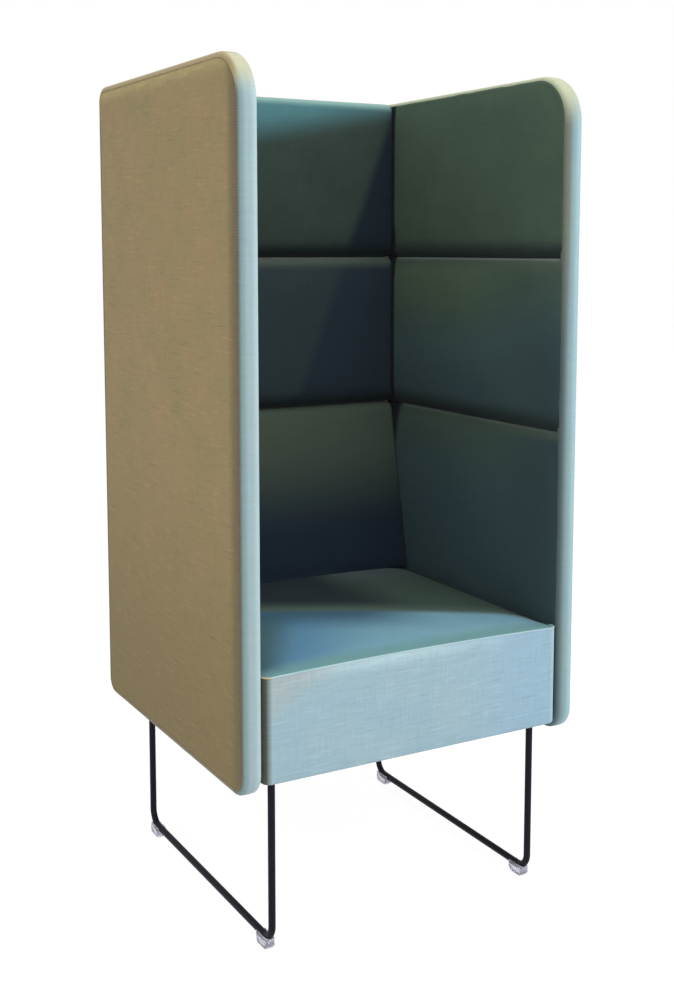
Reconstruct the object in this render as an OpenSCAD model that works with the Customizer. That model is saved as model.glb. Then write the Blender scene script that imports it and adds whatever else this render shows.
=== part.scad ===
// High-backed lounge chair. Two side screens and a back screen, each a board under foam
// and cloth, stand round a box seat on two bent rod sled legs. The screens are lined with
// three rows of crowned pads. Millimetres: X runs to the right as seen from the front,
// the front faces -Y, and Z is up. The origin is on the floor under the middle.

/* [Overall size] */
// Width across the side screens
overall_w = 640; // [600:5:720]
// Depth from the front edges to the back
overall_d = 610; // [570:5:680]
// Height of the screens' top above the floor
overall_h = 1420; // [1300:5:1550]
// Drop from the seat's lower edge to the screens' lower edge
screen_base = 19; // [16:1:46]
// Height of the seat's top seam at its front corners
seat_h = 469.5; // [450:0.5:495]

/* [Screens] */
// Finished thickness of a side screen
screen_t = 31.5; // [29:0.5:36]
// Foam and cloth over a side screen's outer face
cover_t = 6; // [4:0.5:8]
// Foam and cloth over a screen's edges
rim_t = 8.5; // [8:0.5:11]
// Rounding of a rim's arrises
rim_r = 7.5; // [5:0.5:7.5]
// Thickness of each screen's board
board_t = 15; // [12:0.5:16]
// Corner radius of a side screen, front top
front_top_r = 82; // [50:1:110]
// Corner radius of a side screen, front base
front_base_r = 40; // [20:1:60]
// Corner radius of the screens at the back
back_r = 28; // [22:1:34]
// Rim over the back board's top and lower edges
back_rim_t = 14; // [12:0.5:20]

/* [Lining pads] */
// Drop from the screens' top to the seam between the lower and middle pads
seam_low_h = 609; // [560:1:660]
// Drop from the screens' top to the seam between the middle and upper pads
seam_high_h = 310; // [260:1:360]
// Thickness of a side pad at its seams
side_edge_t = 4; // [3:0.5:6]
// Thickness of a back pad at its seams
back_edge_t = 28; // [10:0.5:30]
// Width of the roll from a seam to a pad's full thickness
pad_roll = 14; // [8:1:24]
// Rise of a side pad's crown above its roll
side_crown = 4; // [1:0.5:7]
// Rise of a back pad's crown above its roll
back_crown = 5; // [2:0.5:9]
// Thickness of the back pads at their roll
back_pad_t = 35; // [24:0.5:40]
// Thickness of the lower back pad at the seat
lumbar_t = 90; // [60:1:100]
// Corner radius of a pad at its seams
pad_corner_r = 6; // [3:0.5:10]
// How far the lower side pads run below the seat's top seam
pad_tuck = 20; // [12:1:30]

/* [Seat] */
// Gap between the seat and each side screen
seat_gap = 3; // [2:0.5:5]
// Drop from the seat's top seam to the border's lower edge
seat_base = 173.5; // [169.5:0.5:177.5]
// Thickness of the border in front of the rails
border_t = 18; // [17:0.5:22]
// Thickness of the border round the foam
border_top_t = 6; // [5.5:0.5:8]
// Corner radius of the border, seen from above
border_corner_r = 15; // [10:0.5:20]
// Rounding of the border's lower edge
border_base_r = 15; // [8:0.5:16]
// Rounding of the border's top edge
border_top_r = 4; // [2:0.5:5]
// Length of the deep part of the border along each side
border_return = 70; // [50:1:80]
// Rise of the seat from its sides to its middle line
seat_crown = 5; // [1:0.5:7]
// Rise of the seat from its front edge to its middle
seat_swell = 2; // [1:0.5:5]
// Thickness of the padded seat top at its corners
topper_t = 16; // [12:0.5:22]

/* [Seat frame] */
// Height of the rails
rail_h = 100; // [90:1:105]
// Width of a side rail
side_rail_w = 40; // [38:0.5:46]
// Width of the front and rear rails
end_rail_w = 25; // [20:0.5:30]
// Width of the cross rail
cross_rail_w = 24; // [18:0.5:30]
// Height of the cross rail
cross_rail_h = 60; // [40:1:70]
// Drop from the rails' top to the cross rail's top
cross_rail_drop = 31; // [25:1:35]
// Length of a corner block's short sides
block_leg = 50; // [35:1:60]
// Height of a corner block
block_h = 60; // [40:1:80]
// Thickness of the spacer between the seat and the back board
rear_spacer_t = 20; // [16:0.5:26]
// Length of the spacer between the seat and the back board
rear_spacer_l = 380; // [300:5:420]
// Spacers beside the seat: setback of each end from the rail's end
side_spacer_l = 54; // [49:1:79]
// Width of a webbing band
web_w = 58; // [40:1:62]
// Thickness of a webbing band
web_t = 1.6; // [1:0.1:2]
// Number of bands that run front to back
web_long_count = 6; // [4:1:6]
// Number of bands that run side to side
web_cross_count = 5; // [4:1:6]
// Thickness of the dust cover
dust_t = 0.8; // [0.5:0.1:1]

/* [Legs] */
// Diameter of the leg rod
rod_d = 12; // [10:0.5:13]
// Radius of a rod's bend at its middle line
bend_r = 27; // [18:1:36]
// Setback of each sled leg's middle line from the chair's side
leg_x = 64.5; // [64:0.5:66]
// Setback of the front uprights from the front edge
leg_front_in = 37.5; // [30:0.5:45]
// Setback of the rear uprights from the back
leg_back_in = 56.5; // [50:0.5:70]
// Width of a leg plate
plate_w = 34; // [32:0.5:35]
// Thickness of a leg plate
plate_t = 5; // [4.8:0.1:6]
// Leg plate outside the rod's middle line
plate_out = 11.5; // [11:0.5:12]
// Width of the weld round the top of an upright
weld_w = 3; // [2:0.5:3.5]
// Length of a glide along the rod
glide_l = 40; // [30:1:46]
// Width of a glide
glide_w = 18; // [17:0.5:22]
// Thickness of a glide below the rod
glide_foot = 12; // [8:0.5:14]
// Length of the sloped nose at each end of a glide
glide_nose_l = 8; // [4:0.5:10]
// Height of the sloped nose at each end of a glide
glide_nose_h = 8; // [4:0.5:10]
// Setback of a glide's outer end from its upright's middle line
glide_in = 5; // [3:0.5:9]
// Rise of a glide's jaws past the rod's middle
glide_grip = 2.5; // [1.5:0.5:3]

/* [Fasteners] */
// Shank diameter of the seat and leg bolts
bolt_d = 8; // [6:0.5:8]
// Head diameter of a seat bolt
bolt_head_d = 13; // [11:0.5:14]
// Head height of a seat bolt
bolt_head_h = 5; // [4:0.5:6]
// Diameter of a seat bolt's washer
washer_d = 18; // [16:0.5:20]
// Thickness of a washer
washer_t = 1.6; // [1.2:0.1:2]
// Flange diameter of a tee nut
tee_d = 20; // [17:0.5:22]
// Flange thickness of a tee nut
tee_t = 1.5; // [1.2:0.1:2]
// Barrel diameter of a tee nut
tee_barrel_d = 10.5; // [10:0.5:12]
// Barrel length of a tee nut
tee_barrel_l = 9; // [7:0.5:9.5]
// Head diameter of a leg screw
leg_head_d = 15; // [13:0.5:16]
// Length of a leg screw
leg_screw_l = 25; // [20:1:28]
// Outer diameter of a threaded insert
insert_d = 12; // [11:0.5:14]
// Length of a threaded insert
insert_l = 18; // [14:1:20]
// Shank diameter of a screen bolt
screen_bolt_d = 6; // [5:0.5:6]
// Length of a screen bolt
screen_bolt_l = 50; // [48:1:54]
// Head diameter of a screen bolt
screen_head_d = 12; // [10:0.5:12]
// Head height of a screen bolt
screen_head_h = 3; // [2:0.5:4]
// Diameter of a barrel nut
barrel_d = 10; // [9:0.5:11]
// Length of a barrel nut
barrel_l = 13; // [10:0.5:13.5]
// Distance of a barrel nut from the back board's end
barrel_in = 30; // [24:1:32]
// Head diameter of a pad clip
clip_head_d = 16; // [12:0.5:18]
// Head thickness of a pad clip
clip_head_t = 1.5; // [1:0.1:2]
// Stem diameter of a pad clip
clip_d = 8; // [6:0.5:9]
// Stem length of a pad clip, below its head
clip_l = 8; // [6:0.5:9]

/* [Hidden] */
$fn = 48;

// Clearances and small finishing sizes
cut = 1;
pad_gap = 0.5;
seam_gap = 0.6;
board_fit = 0.6;
frame_fit = 0.5;
end_fit = 0.3;
hole_fit = 0.2;
thread_fit = 0.05;
rod_fit = 0.1;
least_r = 1;
pad_back_in = 2;
base_fit = 4;
cross_rail_r = 4;
dust_in = 4;
dust_over = 2.5;
plate_end = 8.5;
plate_corner_r = 6;
glide_corner_r = 5;
glide_sole_in = 2.5;
head_cone_h = 4;
socket_d = 5;
socket_depth = 3;
insert_hole_deep = 8;
topper_edge_r = 3;
web_end_in = 5;
rear_bolt_in = 57;

// Steps on rounded corners and crowns
corner_steps = 2;
big_corner_steps = 7;
rim_steps = 3;
roll_steps = 4;
crown_shares = [0.18, 0.4, 0.68, 1];
topper_shares = [0.12, 0.3, 0.55, 0.96];
border_front_steps = 8;
border_corner_steps = 4;
joint_shares = [0.06, 0.34, 0.63, 0.92];
leg_screw_shares = [0.08, 0.36, 0.64, 0.92];
seat_bolt_shares = [0.14, 0.86];
clip_shares = [0.16, 0.84];

// Heights of the lower edges and of the pads' seams
border_base = seat_h - seat_base;
cover_base = border_base - screen_base;
seam_low_z = overall_h - seam_low_h;
seam_high_z = overall_h - seam_high_h;

// Planes of the screens
half_w = overall_w / 2;
half_d = overall_d / 2;
inner_x = half_w - screen_t;
board_out_x = half_w - cover_t;
board_in_x = board_out_x - board_t;
side_pad_t = board_in_x - inner_x;
back_board_rear_y = half_d - rim_t;
back_board_y = back_board_rear_y - board_t;
board_half_d = half_d - rim_t - board_fit;
board_base = cover_base + rim_t + board_fit;
board_top = overall_h - rim_t - board_fit;
back_board_base = cover_base + back_rim_t + board_fit;
back_board_top = overall_h - back_rim_t - board_fit;

// Limits of the pads: along Y on the side screens, along X on the back screen
side_pad_front = -half_d + rim_t + pad_gap;
side_pad_rear = back_board_y - pad_gap;
side_pad_top = overall_h - rim_t - pad_gap;
side_pad_base = seat_h - pad_tuck;
back_pad_half = inner_x - side_crown - pad_gap;
back_pad_top = overall_h - pad_gap;

// Planes of the seat and its frame
seat_half = inner_x - seat_gap;
frame_half = seat_half - border_t - frame_fit;
frame_front_y = -half_d + border_t + frame_fit;
frame_rear_y = back_board_y - rear_spacer_t;
rail_in_x = frame_half - side_rail_w;
rail_base = border_base + base_fit;
rail_top = rail_base + rail_h;
rail_mid = rail_base + rail_h / 2;
side_rail_front_y = frame_front_y + end_rail_w;
side_rail_rear_y = frame_rear_y - end_rail_w;
cross_rail_y = (side_rail_front_y + side_rail_rear_y) / 2;
foam_base = rail_top + 2 * web_t;
foam_top = seat_h - topper_t;
foam_half = seat_half - border_top_t - pad_gap;
foam_front_y = -half_d + border_top_t + pad_gap;
foam_corner_r = max(border_corner_r - border_top_t - pad_gap, least_r);
foam_mid_y = (foam_front_y + frame_rear_y) / 2;
foam_half_d = (frame_rear_y - foam_front_y) / 2;

// Lower back pad, which rests on the seat
lumbar_rise = lumbar_t - back_pad_t;
back_pad_base = seat_h + seat_rise([0, back_board_y - lumbar_t]) + pad_gap;

// Places of the legs
rod_z = glide_foot + rod_d / 2;
plate_z = rail_base - plate_t;
leg_front_y = -half_d + leg_front_in;
leg_rear_y = half_d - leg_back_in;
leg_span = leg_rear_y - leg_front_y;
leg_mid_x = half_w - leg_x;
plate_mid_x = leg_mid_x + plate_out - plate_w / 2;
glide_front_y = leg_front_y + glide_in + glide_l / 2;
glide_rear_y = leg_rear_y - glide_in - glide_l / 2;

// Places of the fasteners
rear_bolt_span = 2 * (rail_in_x - block_leg - rear_bolt_in);
back_board_mid_y = (back_board_y + back_board_rear_y) / 2;
joint_heights = [for (s = joint_shares) back_board_base + s * (back_board_top - back_board_base)];
leg_screw_ys = [for (s = leg_screw_shares) leg_front_y + s * leg_span];
side_spacer_front_y = side_rail_front_y + side_spacer_l;
side_spacer_rear_y = side_rail_rear_y - side_spacer_l;
seat_bolt_ys = [for (s = seat_bolt_shares) between(side_spacer_front_y, side_spacer_rear_y, s)];
side_pad_rows = [
    [side_pad_base, seam_low_z - seam_gap / 2],
    [seam_low_z + seam_gap / 2, seam_high_z - seam_gap / 2],
    [seam_high_z + seam_gap / 2, side_pad_top]
];
back_pad_rows = [
    [back_pad_base, seam_low_z - seam_gap / 2],
    [seam_low_z + seam_gap / 2, seam_high_z - seam_gap / 2],
    [seam_high_z + seam_gap / 2, back_pad_top]
];

// A share of the way from one value to another
function between(a, b, share) = a + share * (b - a);

// Points of a quarter circle about c, from a starting angle
function quarter(c, r, start, steps) =
    [for (i = [0:steps]) c + r * [cos(start + 90 * i / steps), sin(start + 90 * i / steps)]];

// Outline of a rectangle with its own radius at each corner, drawn in by an inset
function rounded_ring(lo, hi, radii, steps, inset) =
    let (
        r = [for (q = radii) max(q - inset, least_r)],
        c = [for (q = radii) max(q, inset + least_r)]
    )
    concat(
        quarter([lo.x + c[0], lo.y + c[0]], r[0], 180, steps[0]),
        quarter([hi.x - c[1], lo.y + c[1]], r[1], 270, steps[1]),
        quarter([hi.x - c[2], hi.y - c[2]], r[2], 0, steps[2]),
        quarter([lo.x + c[3], hi.y - c[3]], r[3], 90, steps[3])
    );

// Rings of a soft form: each step of the profile is [inset, height], lifted by rise(point, height)
function rings(lo, hi, radii, steps, profile, rise) =
    [for (p = profile)
        [for (q = rounded_ring(lo, hi, radii, steps, p[0])) [q.x, q.y, p[1] + rise(q, p[1])]]];

// Profile of a pad, from its back up its edge, over its roll and up its crown
function pad_profile(edge, t, crown, reach) = concat(
    [[pad_back_in, 0], [0, edge / 2]],
    [for (i = [0:roll_steps])
        [pad_roll * (1 - cos(90 * i / roll_steps)), edge + (t - edge) * sin(90 * i / roll_steps)]],
    [for (s = crown_shares) [between(pad_roll, reach, s), t + crown * sin(90 * s)]]
);

// Largest inset of a rectangle that still leaves a ring
function reach_of(lo, hi) = min(hi.x - lo.x, hi.y - lo.y) / 2 - 2 * least_r;

// Height of the seat above its front corners: crowned across, with a slight swell along its depth
function seat_rise(q) =
    seat_crown * (1 - pow(q.x / seat_half, 2))
        + seat_swell * max(0, 1 - pow((q.y - foam_mid_y) / foam_half_d, 2));

// Point of the border's outline at a station [side share, angle, setback], drawn in by an inset
function border_point(st, inset) =
    let (r = max(border_corner_r - inset, least_r), c = max(border_corner_r, inset + least_r))
    [st[0] * (seat_half - c) + sign(st[0]) * r * sin(st[1]), -half_d + c - r * cos(st[1]) + st[2]];

// Section of the border at a station: deep in front of the rails, shallow along the foam
function border_section(st) =
    let (
        deep = st[2] <= border_return,
        low = deep ? border_base : rail_top + web_t / 2,
        thick = deep ? border_t : border_top_t + web_t,
        low_r = deep ? border_base_r : web_t,
        top = seat_h + seat_rise(border_point(st, 0))
    )
    concat(
        quarter([low_r, low + low_r], low_r, 180, rim_steps),
        [[thick, low], [thick, foam_base], [border_top_t, foam_base], [border_top_t, top]],
        [for (i = [0:rim_steps])
            [border_top_r * (1 - sin(90 * i / rim_steps)),
                top - border_top_r * (1 - cos(90 * i / rim_steps))]]
    );

// Stations of the border from the left rear, round the front, to the right rear
border_side_l = frame_rear_y + half_d - border_corner_r;
border_sides = [border_side_l, (border_side_l + border_return) / 2, border_return + least_r, border_return];
border_stations = concat(
    [for (d = border_sides) [-1, 90, d]],
    [for (i = [0:border_corner_steps]) [-1, 90 - 90 * i / border_corner_steps, 0]],
    [for (i = [1:border_front_steps - 1]) [-1 + 2 * i / border_front_steps, 0, 0]],
    [for (i = [0:border_corner_steps]) [1, 90 * i / border_corner_steps, 0]],
    [for (i = [len(border_sides) - 1:-1:0]) [1, 90, border_sides[i]]]
);

// Solid through a list of rings, each counter-clockwise as seen from the last one
module loft(list, fans) {
    n = len(list[0]);
    m = len(list);
    points = concat([for (ring = list) each ring],
        [[for (k = [0:2]) sum_of([for (q = list[0]) q[k]]) / n]],
        [[for (k = [0:2]) sum_of([for (q = list[m - 1]) q[k]]) / n]]);
    walls = [for (k = [0:m - 2]) for (i = [0:n - 1])
        let (a = k * n + i, b = k * n + (i + 1) % n)
        each [[a, a + n, b + n], [a, b + n, b]]];
    first_cap = fans ? [for (i = [0:n - 1]) [m * n, i, (i + 1) % n]] : [[for (i = [0:n - 1]) i]];
    last_cap = fans
        ? [for (i = [0:n - 1]) [m * n + 1, (m - 1) * n + (i + 1) % n, (m - 1) * n + i]]
        : [[for (i = [n - 1:-1:0]) (m - 1) * n + i]];
    polyhedron(points = points, faces = concat(walls, first_cap, last_cap), convexity = 8);
}

// Sum of a list of numbers
function sum_of(list) = list * [for (q = list) 1];

// Flat outline of a rectangle with true round corners
module rounded_outline(lo, hi, radii) {
    difference() {
        translate(lo) square(hi - lo);
        for (k = [0:3]) {
            x_side = k == 0 || k == 3 ? 0 : 1;
            y_side = k < 2 ? 0 : 1;
            corner = [x_side == 0 ? lo.x : hi.x, y_side == 0 ? lo.y : hi.y];
            inward = [x_side == 0 ? 1 : -1, y_side == 0 ? 1 : -1];
            translate(corner) scale([inward.x, inward.y]) difference() {
                translate([-cut, -cut]) square(radii[k] + cut);
                translate([radii[k], radii[k]]) circle(r = radii[k]);
            }
        }
    }
}

// Rod, hole or pin along X, from x0 to x1
module along_x(x0, x1, y, z, d) {
    translate([x0, y, z]) rotate([0, 90, 0]) cylinder(d = d, h = x1 - x0);
}

// Rod, hole or pin along Y, from y0 to y1
module along_y(y0, y1, x, z, d) {
    translate([x, y0, z]) rotate([-90, 0, 0]) cylinder(d = d, h = y1 - y0);
}

// Frame of the right side screen: drawn as seen from the seat, with depth towards the seat
module on_right_screen() {
    rotate([90, 0, -90]) children();
}

// Frame of the back screen: drawn as seen from the seat, with depth towards the front
module on_back_screen() {
    rotate([90, 0, 0]) children();
}

// Foam and cloth round a side board: outer face, rolled rim and the pocket for the board
module side_cover() {
    lo = [-half_d, cover_base];
    hi = [half_d, overall_h];
    turn = [for (i = [0:rim_steps]) 90 * i / rim_steps];
    profile = concat(
        [for (a = turn) [rim_r * (1 - sin(a)), -half_w + rim_r * (1 - cos(a))]],
        [for (a = turn) [rim_r * (1 - cos(a)), -inner_x - rim_r * (1 - sin(a))]],
        [[rim_t, -inner_x], [rim_t, -board_out_x]]
    );
    radii = [back_r, front_base_r, front_top_r, back_r];
    steps = [rim_steps + 1, rim_steps + 1, big_corner_steps, rim_steps + 1];
    on_right_screen() loft(rings(lo, hi, radii, steps, profile, function (q, h) 0), true);
}

// Board of a side screen, with its holes for joints, seat bolts and pad clips
module side_board() {
    inset = rim_t + board_fit;
    difference() {
        on_right_screen() translate([0, 0, -board_out_x]) linear_extrude(board_t)
            rounded_outline([-board_half_d, board_base], [board_half_d, board_top],
                [back_r - inset, front_base_r - inset, front_top_r - inset, back_r - inset]);
        for (z = joint_heights) {
            along_x(board_in_x - cut, board_out_x + cut, back_board_mid_y, z,
                screen_bolt_d + 2 * hole_fit);
            along_x(board_out_x - screen_head_h, board_out_x + cut, back_board_mid_y, z,
                screen_head_d + 2 * hole_fit);
        }
        for (y = seat_bolt_ys) {
            along_x(board_in_x - cut, board_out_x + cut, y, rail_mid, tee_barrel_d + 2 * hole_fit);
            along_x(board_out_x - tee_t, board_out_x + cut, y, rail_mid, tee_d + 2 * hole_fit);
        }
        for (row = side_pad_rows) for (y_share = clip_shares) for (z_share = clip_shares) {
            y = between(side_pad_front, side_pad_rear, y_share);
            z = between(row[0], row[1], z_share);
            along_x(board_in_x - cut, board_in_x + clip_head_t, y, z, clip_head_d + 2 * hole_fit);
            along_x(board_in_x, board_in_x + clip_head_t + clip_l, y, z, clip_d + 2 * hole_fit);
        }
    }
}

// Crowned pad of a side screen, between two heights
module side_pad(row, radii, steps) {
    lo = [-side_pad_rear, row[0]];
    hi = [-side_pad_front, row[1]];
    profile = pad_profile(side_edge_t, side_pad_t, side_crown, reach_of(lo, hi));
    on_right_screen() translate([0, 0, -board_in_x])
        loft(rings(lo, hi, radii, steps, profile, function (q, h) 0), true);
}

// Lower pad of a side screen
module side_pad_lower() {
    side_pad(side_pad_rows[0], [for (k = [0:3]) pad_corner_r], [for (k = [0:3]) corner_steps]);
}

// Middle pad of a side screen
module side_pad_middle() {
    side_pad(side_pad_rows[1], [for (k = [0:3]) pad_corner_r], [for (k = [0:3]) corner_steps]);
}

// Upper pad of a side screen, whose corners follow the rim
module side_pad_upper() {
    inset = rim_t + pad_gap;
    side_pad(side_pad_rows[2], [pad_corner_r, pad_corner_r, front_top_r - inset, back_r - inset],
        [corner_steps, corner_steps, big_corner_steps, rim_steps + 1]);
}

// Crowned pad of the back screen, between two heights and thicker by lean at its base
module back_pad(row, lean) {
    lo = [-back_pad_half, row[0]];
    hi = [back_pad_half, row[1]];
    profile = pad_profile(back_edge_t, back_pad_t, back_crown, reach_of(lo, hi));
    on_back_screen() translate([0, 0, -back_board_y])
        loft(rings(lo, hi, [for (k = [0:3]) pad_corner_r], [for (k = [0:3]) corner_steps], profile,
            function (q, h) h < back_edge_t ? 0 : lean * (row[1] - q.y) / (row[1] - row[0])), true);
}

// Foam and cloth behind the back board and round its top and lower edges
module back_cover() {
    rotate([90, 0, 90]) translate([0, 0, -inner_x + end_fit]) linear_extrude(2 * (inner_x - end_fit))
        difference() {
            rounded_outline([back_board_y, cover_base], [half_d, overall_h],
                [least_r, back_r - end_fit, back_r - end_fit, least_r]);
            translate([back_board_y - cut, cover_base + back_rim_t])
                square([board_t + cut, overall_h - cover_base - 2 * back_rim_t]);
        }
}

// Board of the back screen, with its holes for joints, seat bolts and pad clips
module back_screen_board() {
    half = board_in_x - end_fit;
    difference() {
        translate([-half, back_board_y, back_board_base])
            cube([2 * half, board_t, back_board_top - back_board_base]);
        for (side = [-1, 1]) for (z = joint_heights) {
            nut_x = side * (half - barrel_in);
            along_x(min(nut_x, side * (half + cut)), max(nut_x, side * (half + cut)),
                back_board_mid_y, z, screen_bolt_d + 2 * hole_fit);
            along_y(back_board_y - cut, back_board_mid_y + barrel_l / 2, nut_x, z,
                barrel_d + 2 * hole_fit);
        }
        for (side = [-1, 1]) {
            x = side * rear_bolt_span / 2;
            along_y(back_board_y - cut, back_board_rear_y + cut, x, rail_mid,
                tee_barrel_d + 2 * hole_fit);
            along_y(back_board_rear_y - tee_t, back_board_rear_y + cut, x, rail_mid,
                tee_d + 2 * hole_fit);
        }
        for (row = back_pad_rows) for (x_share = clip_shares) for (z_share = clip_shares) {
            x = between(-back_pad_half, back_pad_half, x_share);
            z = between(row[0], row[1], z_share);
            along_y(back_board_y - cut, back_board_y + clip_head_t, x, z,
                clip_head_d + 2 * hole_fit);
            along_y(back_board_y, back_board_y + clip_head_t + clip_l, x, z,
                clip_d + 2 * hole_fit);
        }
    }
}

// Front apron and side borders of the seat, one sewn piece over foam
module seat_border_piece() {
    loft([for (st = border_stations)
        [for (p = border_section(st)) let (q = border_point(st, p[0])) [q.x, q.y, p[1]]]], false);
}

// Padded seat top, crowned from its seam to the middle
module seat_top_piece() {
    lo = [-foam_half, foam_front_y];
    hi = [foam_half, frame_rear_y];
    reach = reach_of(lo, hi);
    profile = concat(
        [[0, foam_top]],
        [for (i = [0:rim_steps])
            [topper_edge_r * (1 - cos(90 * i / rim_steps)),
                seat_h - topper_edge_r * (1 - sin(90 * i / rim_steps))]],
        [for (s = topper_shares) [s * reach, seat_h]]
    );
    loft(rings(lo, hi, [for (k = [0:3]) foam_corner_r], [for (k = [0:3]) rim_steps], profile,
        function (q, h) h > foam_top ? seat_rise(q) : 0), true);
}

// Foam block on the webbing
module seat_foam_block() {
    translate([0, 0, foam_base]) linear_extrude(foam_top - foam_base)
        rounded_outline([-foam_half, foam_front_y], [foam_half, frame_rear_y],
            [for (k = [0:3]) foam_corner_r + least_r]);
}

// Webbing bands from the front rail to the rear rail
module webbing_long_bands() {
    pitch = 2 * rail_in_x / web_long_count;
    for (i = [0:web_long_count - 1])
        translate([-rail_in_x + (i + 1 / 2) * pitch - web_w / 2, frame_front_y + web_end_in, rail_top])
            cube([web_w, frame_rear_y - frame_front_y - 2 * web_end_in, web_t]);
}

// Webbing bands from side rail to side rail, over the long ones
module webbing_cross_bands() {
    pitch = (side_rail_rear_y - side_rail_front_y) / web_cross_count;
    for (i = [0:web_cross_count - 1])
        translate([-frame_half + web_end_in, side_rail_front_y + (i + 1 / 2) * pitch - web_w / 2,
            rail_top + web_t])
            cube([2 * (frame_half - web_end_in), web_w, web_t]);
}

// Front rail of the seat frame
module front_rail() {
    translate([-frame_half, frame_front_y, rail_base]) cube([2 * frame_half, end_rail_w, rail_h]);
}

// Rear rail of the seat frame, drilled for the bolts to the back board
module rear_rail() {
    difference() {
        translate([-frame_half, side_rail_rear_y, rail_base])
            cube([2 * frame_half, end_rail_w, rail_h]);
        for (side = [-1, 1])
            along_y(side_rail_rear_y - cut, frame_rear_y + cut, side * rear_bolt_span / 2, rail_mid,
                bolt_d + 2 * hole_fit);
    }
}

// Side rail of the seat frame, drilled for the seat bolts and the leg inserts
module side_rail() {
    difference() {
        translate([rail_in_x, side_rail_front_y, rail_base])
            cube([side_rail_w, side_rail_rear_y - side_rail_front_y, rail_h]);
        for (y = seat_bolt_ys)
            along_x(rail_in_x - cut, frame_half + cut, y, rail_mid, bolt_d + 2 * hole_fit);
        for (y = leg_screw_ys) translate([plate_mid_x, y, rail_base - cut])
            cylinder(d = insert_d + 2 * hole_fit, h = insert_l + insert_hole_deep + cut);
    }
}

// Rail across the middle of the seat frame, below the webbing
module cross_rail() {
    translate([-rail_in_x, cross_rail_y, rail_top - cross_rail_drop - cross_rail_h]) rotate([90, 0, 90])
        linear_extrude(2 * rail_in_x)
            rounded_outline([-cross_rail_w / 2, 0], [cross_rail_w / 2, cross_rail_h],
                [for (k = [0:3]) cross_rail_r]);
}

// Glue blocks in the four inner corners of the seat frame
module corner_blocks() {
    ends = [[side_rail_front_y, 1], [side_rail_rear_y, -1]];
    for (side = [-1, 1]) for (end = ends)
        translate([side * rail_in_x, end[0], rail_mid - block_h / 2]) linear_extrude(block_h)
            polygon([[0, 0], [-side * block_leg, 0], [0, end[1] * block_leg]]);
}

// Spacer between the seat frame and a side board
module side_spacer() {
    difference() {
        translate([frame_half, side_spacer_front_y, rail_base])
            cube([board_in_x - frame_half, side_spacer_rear_y - side_spacer_front_y, rail_h]);
        for (y = seat_bolt_ys)
            along_x(frame_half - cut, board_in_x + cut, y, rail_mid, bolt_d + 2 * hole_fit);
    }
}

// Spacer between the seat frame and the back board
module rear_spacer() {
    difference() {
        translate([-rear_spacer_l / 2, frame_rear_y, rail_base])
            cube([rear_spacer_l, rear_spacer_t, rail_h]);
        for (side = [-1, 1])
            along_y(frame_rear_y - cut, back_board_y + cut, side * rear_bolt_span / 2, rail_mid,
                bolt_d + 2 * hole_fit);
    }
}

// Cloth under the seat frame, between the leg plates
module dust_sheet() {
    translate([0, 0, rail_base - dust_t]) linear_extrude(dust_t)
        rounded_outline([-rail_in_x - dust_over, frame_front_y + dust_in],
            [rail_in_x + dust_over, frame_rear_y - dust_in], [for (k = [0:3]) dust_in]);
}

// One bend of a sled leg, from an upright down to the runner
module rod_bend(y, start, d) {
    translate([leg_mid_x, y, rod_z + bend_r]) rotate([90, 0, 90]) rotate([0, 0, start])
        rotate_extrude(angle = 90) translate([bend_r, 0]) circle(d = d);
}

// Sled leg: two uprights and a runner, bent from one rod, with its welds at the top
module leg_rod() {
    for (y = [leg_front_y, leg_rear_y]) {
        translate([leg_mid_x, y, rod_z + bend_r]) cylinder(d = rod_d, h = plate_z - rod_z - bend_r);
        translate([leg_mid_x, y, plate_z - weld_w])
            cylinder(r1 = rod_d / 2, r2 = rod_d / 2 + weld_w, h = weld_w);
    }
    rod_bend(leg_front_y + bend_r, 180, rod_d);
    rod_bend(leg_rear_y - bend_r, 270, rod_d);
    along_y(leg_front_y + bend_r, leg_rear_y - bend_r, leg_mid_x, rod_z, rod_d);
}

// Plate welded to a sled leg and screwed up into the side rail
module leg_plate() {
    difference() {
        translate([plate_mid_x, 0, plate_z]) linear_extrude(plate_t)
            rounded_outline([-plate_w / 2, leg_front_y - plate_end],
                [plate_w / 2, leg_rear_y + plate_end], [for (k = [0:3]) plate_corner_r]);
        for (y = leg_screw_ys) translate([plate_mid_x, y, plate_z]) {
            translate([0, 0, -cut]) cylinder(d = bolt_d + 2 * hole_fit, h = plate_t + 2 * cut);
            cylinder(d1 = leg_head_d + 2 * hole_fit, d2 = bolt_d + 2 * hole_fit, h = head_cone_h);
            translate([0, 0, -cut]) cylinder(d = leg_head_d + 2 * hole_fit, h = cut);
        }
    }
}

// Outline of a glide from one side, drawn in towards its sole
module glide_outline(half, top, run, rise) {
    polygon([[-half, top], [-half, rise], [run - half, 0], [half - run, 0], [half, rise], [half, top]]);
}

// Clear plastic glide that snaps onto the runner from below, next to a bend
module glide(y, bend_y, start) {
    top = rod_z + glide_grip;
    groove_d = rod_d + 2 * rod_fit;
    difference() {
        translate([leg_mid_x, y, 0]) intersection() {
            translate([0, glide_l / 2, 0]) rotate([90, 0, 0]) linear_extrude(glide_l)
                glide_outline(glide_w / 2, top, glide_sole_in, glide_sole_in);
            translate([-glide_w / 2, 0, 0]) rotate([90, 0, 90]) linear_extrude(glide_w)
                glide_outline(glide_l / 2, top, glide_nose_l, glide_nose_h);
            linear_extrude(top) rounded_outline([-glide_w / 2, -glide_l / 2],
                [glide_w / 2, glide_l / 2], [for (k = [0:3]) glide_corner_r]);
        }
        along_y(start == 180 ? bend_y : y - glide_l, start == 180 ? y + glide_l : bend_y, leg_mid_x, rod_z,
            groove_d);
        rod_bend(bend_y, start, groove_d);
    }
}

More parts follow.
